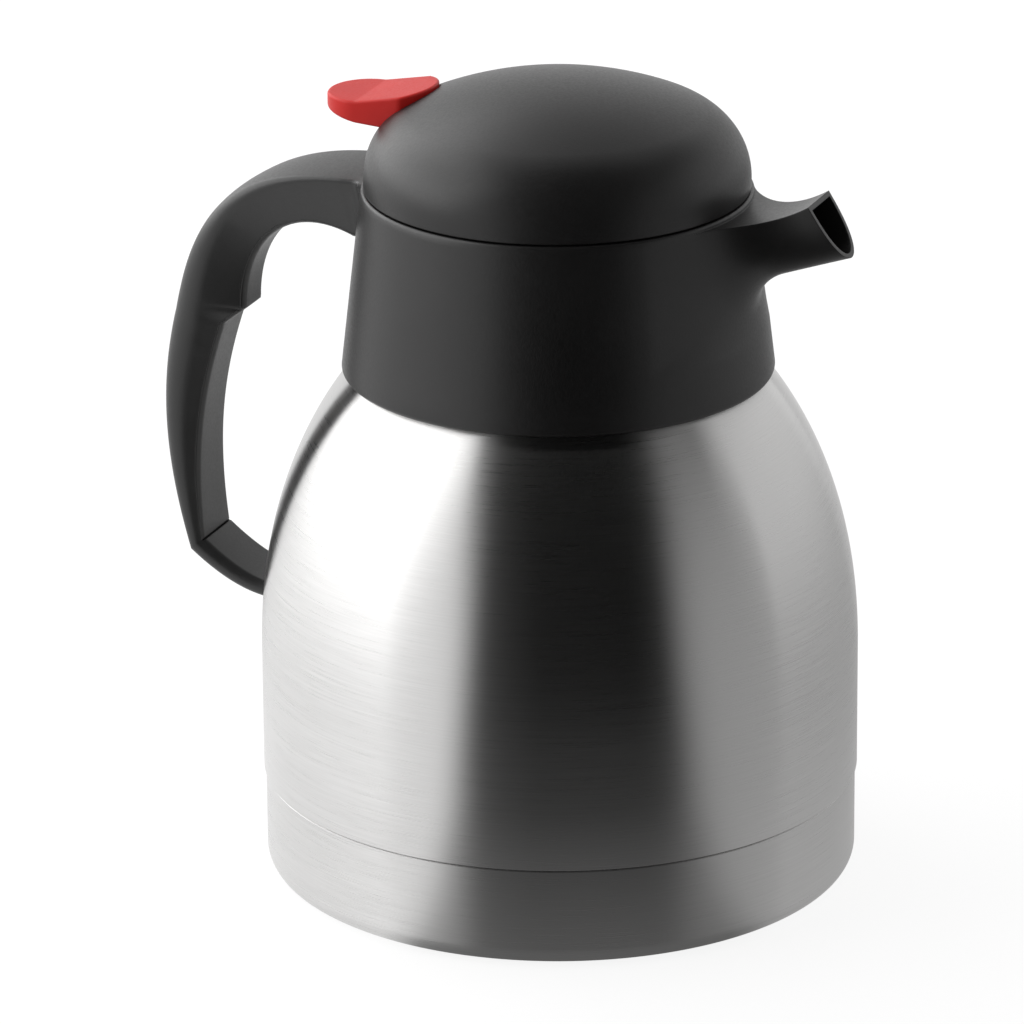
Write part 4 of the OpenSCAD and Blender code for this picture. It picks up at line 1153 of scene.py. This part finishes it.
# ---------------------------------------------------------------- camera
AZ, EL, ROLL = math.radians(22.5), math.radians(20.18), math.radians(0.45)
DISTANCE = 1.8494
AIM_HEIGHT, AIM_LEFT = 0.08872, 0.01142
right = Vector((math.cos(AZ), math.sin(AZ), 0))
look = Vector((-math.sin(AZ) * math.cos(EL), math.cos(AZ) * math.cos(EL), -math.sin(EL)))
aim = Vector((0, 0, AIM_HEIGHT)) - right * AIM_LEFT
cam_data = bpy.data.cameras.new("camera")
cam_data.lens = 268.66
cam_data.sensor_width = 36
cam_data.clip_end = 20
cam = bpy.data.objects.new("camera", cam_data)
cam.location = aim - look * DISTANCE
cam.rotation_euler = (look.to_track_quat("-Z", "Y") @ Quaternion((0, 0, 1), -ROLL)).to_euler()
bpy.context.scene.collection.objects.link(cam)
bpy.context.scene.camera = cam

# ---------------------------------------------------------------- floor, light and background
CAM_BEARING = math.atan2(-look.y, -look.x)     # from the object towards the camera
# grey levels by degrees to the right of the camera, as a surface mirrors them
STUDIO = [(-180, 1.0), (-39, 1.0), (-34, 0.62), (-30, 0.16), (-26, 0.06), (-18, 0.03), (-8, 0.012),
          (26, 0.008), (36, 0.03), (41, 0.16), (46, 0.34), (53, 0.42), (64, 0.44), (140, 0.42),
          (172, 1.0), (180, 1.0)]
OVERHEAD = 0.5          # how far the dark in front reaches out over the object
DIM_FROM, DIM_TO = 0.38, 0.64     # heights of a direction between which the studio darkens
DIM = 0.75              # how much darker it is overhead
WORLD_LIGHT = 0.32      # grey level of the world as a light
PAINTED_FLOOR_GLOW = 0.17       # painted glow: how much paler the floor close round the base shows in reflections
FLOOR_WHITE = 0.72      # share of plain white in the floor to the camera, the rest takes light and shadow
FLOOR_LEVEL = 1.22      # level of that plain white
# distances from the axis, in metres, over which the painted glow on the floor fades out
GLOW_FROM, GLOW_TO = 0.10, 0.17
LAMP_AIM = Vector((0, 0, 0.10))


def surroundings(t, vector):
    """Studio by direction: white behind and left, grey on the right, dark in front and overhead."""
    xyz = t.node("ShaderNodeSeparateXYZ")
    t.link(vector, xyz.inputs[0])
    x, y, z = xyz.outputs["X"], xyz.outputs["Y"], xyz.outputs["Z"]
    c, s = math.cos(CAM_BEARING), math.sin(CAM_BEARING)
    front = t.math("ADD", t.math("MULTIPLY", x, c), t.math("MULTIPLY", y, s))
    ahead = t.math("ADD", front, t.math("MULTIPLY", t.math("MAXIMUM", z, 0), OVERHEAD))
    aside = t.math("SUBTRACT", t.math("MULTIPLY", y, c), t.math("MULTIPLY", x, s))
    turn = t.math("ADD", t.math("MULTIPLY", t.math("ARCTAN2", aside, ahead), 0.5 / math.pi), 0.5)
    tones = t.ramp(turn, [(angle / 360 + 0.5, (tone, tone, tone)) for angle, tone in STUDIO])
    return t.mix(t.remap(z, DIM_FROM, DIM_TO, 0.0, DIM), tones, 0)


def seen(t, tone, share=1.0, level=1.0):
    """Share and colour of the studio: its tone in mirrored rays, and plain grey for the camera."""
    path = t.node("ShaderNodeLightPath")
    camera = path.outputs["Is Camera Ray"]
    mirrored = t.math("MAXIMUM", path.outputs["Is Glossy Ray"], path.outputs["Is Transmission Ray"])
    shows = t.math("MAXIMUM", mirrored, t.math("MULTIPLY", camera, share))
    return shows, t.mix(camera, tone, level)


def pale_floor(name, tone):
    """Nearly white to the camera, with a soft shadow; in reflections it glows with the studio's tones painted
    on it by direction, and with a painted glow close round the base.
    """
    s = Shader(name)
    s.set("Roughness", 0.6)
    grain = s.node("ShaderNodeTexNoise", Scale=40).outputs["Fac"]
    s.drive("Base Color", s.ramp(grain, [(0, (tone * 0.98,) * 3), (1, (tone,) * 3)]))
    away = s.node("ShaderNodeVectorMath", operation="LENGTH")
    s.link(s.coord.outputs["Object"], away.inputs[0])
    # painted glow: the floor shows paler in reflections close round the base
    near = s.remap(away.outputs["Value"], GLOW_FROM, GLOW_TO, PAINTED_FLOOR_GLOW, 0.0, "SMOOTHSTEP")
    # painted reflection: the studio's tones by direction, painted on the floor and brightened by the painted
    # glow near the base
    painted_reflection_tone = s.mix(near, surroundings(s, s.coord.outputs["Object"]), 1)
    shows, color = seen(s, painted_reflection_tone, FLOOR_WHITE, FLOOR_LEVEL)
    glow = s.node("ShaderNodeEmission")
    s.link(color, glow.inputs["Color"])
    mix = s.node("ShaderNodeMixShader")
    s.link(shows, mix.inputs["Fac"])
    s.link(s.surface.outputs["BSDF"], mix.inputs[1])
    s.link(glow.outputs["Emission"], mix.inputs[2])
    s.link(mix.outputs["Shader"], s.tree.nodes["Material Output"].inputs["Surface"])
    return s.material


FLOOR_HALF = 3000
corners = [(x * FLOOR_HALF, y * FLOOR_HALF, 0) for x, y in ((-1, -1), (1, -1), (1, 1), (-1, 1))]
floor = make("floor", corners, [(0, 1, 2, 3)])
floor.location.z = -0.0002
floor.data.materials.append(pale_floor("floor_pale", 0.62))

world = bpy.data.worlds.new("studio")
bpy.context.scene.world = world
world.use_nodes = True
studio = Nodes(world.node_tree)
shows, color = seen(studio, surroundings(studio, studio.coord.outputs["Generated"]))
background = studio.tree.nodes["Background"]
studio.link(studio.mix(shows, WORLD_LIGHT, color), background.inputs["Color"])
background.inputs["Strength"].default_value = 1.0


def softbox(name, to_right, elevation, distance, width, height, power):
    """Rectangular light that faces the object, by degrees to the right of the camera."""
    a = CAM_BEARING + math.radians(to_right)
    e = math.radians(elevation)
    light = bpy.data.lights.new(name, "AREA")
    light.shape = "RECTANGLE"
    light.size = width
    light.size_y = height
    light.energy = power
    lamp = bpy.data.objects.new(name, light)
    away = Vector((math.cos(a) * math.cos(e), math.sin(a) * math.cos(e), math.sin(e))) * distance
    lamp.location = away + LAMP_AIM
    lamp.rotation_euler = (-away).to_track_quat("-Z", "Y").to_euler()
    bpy.context.scene.collection.objects.link(lamp)


softbox("light_left", -108, 34, 1.6, 3.0, 1.8, 34)
softbox("light_right", 120, 14, 1.6, 2.0, 1.8, 5)
softbox("light_top", -165, 62, 1.5, 2.4, 1.8, 5)
bpy.context.scene.view_settings.view_transform = "Standard"
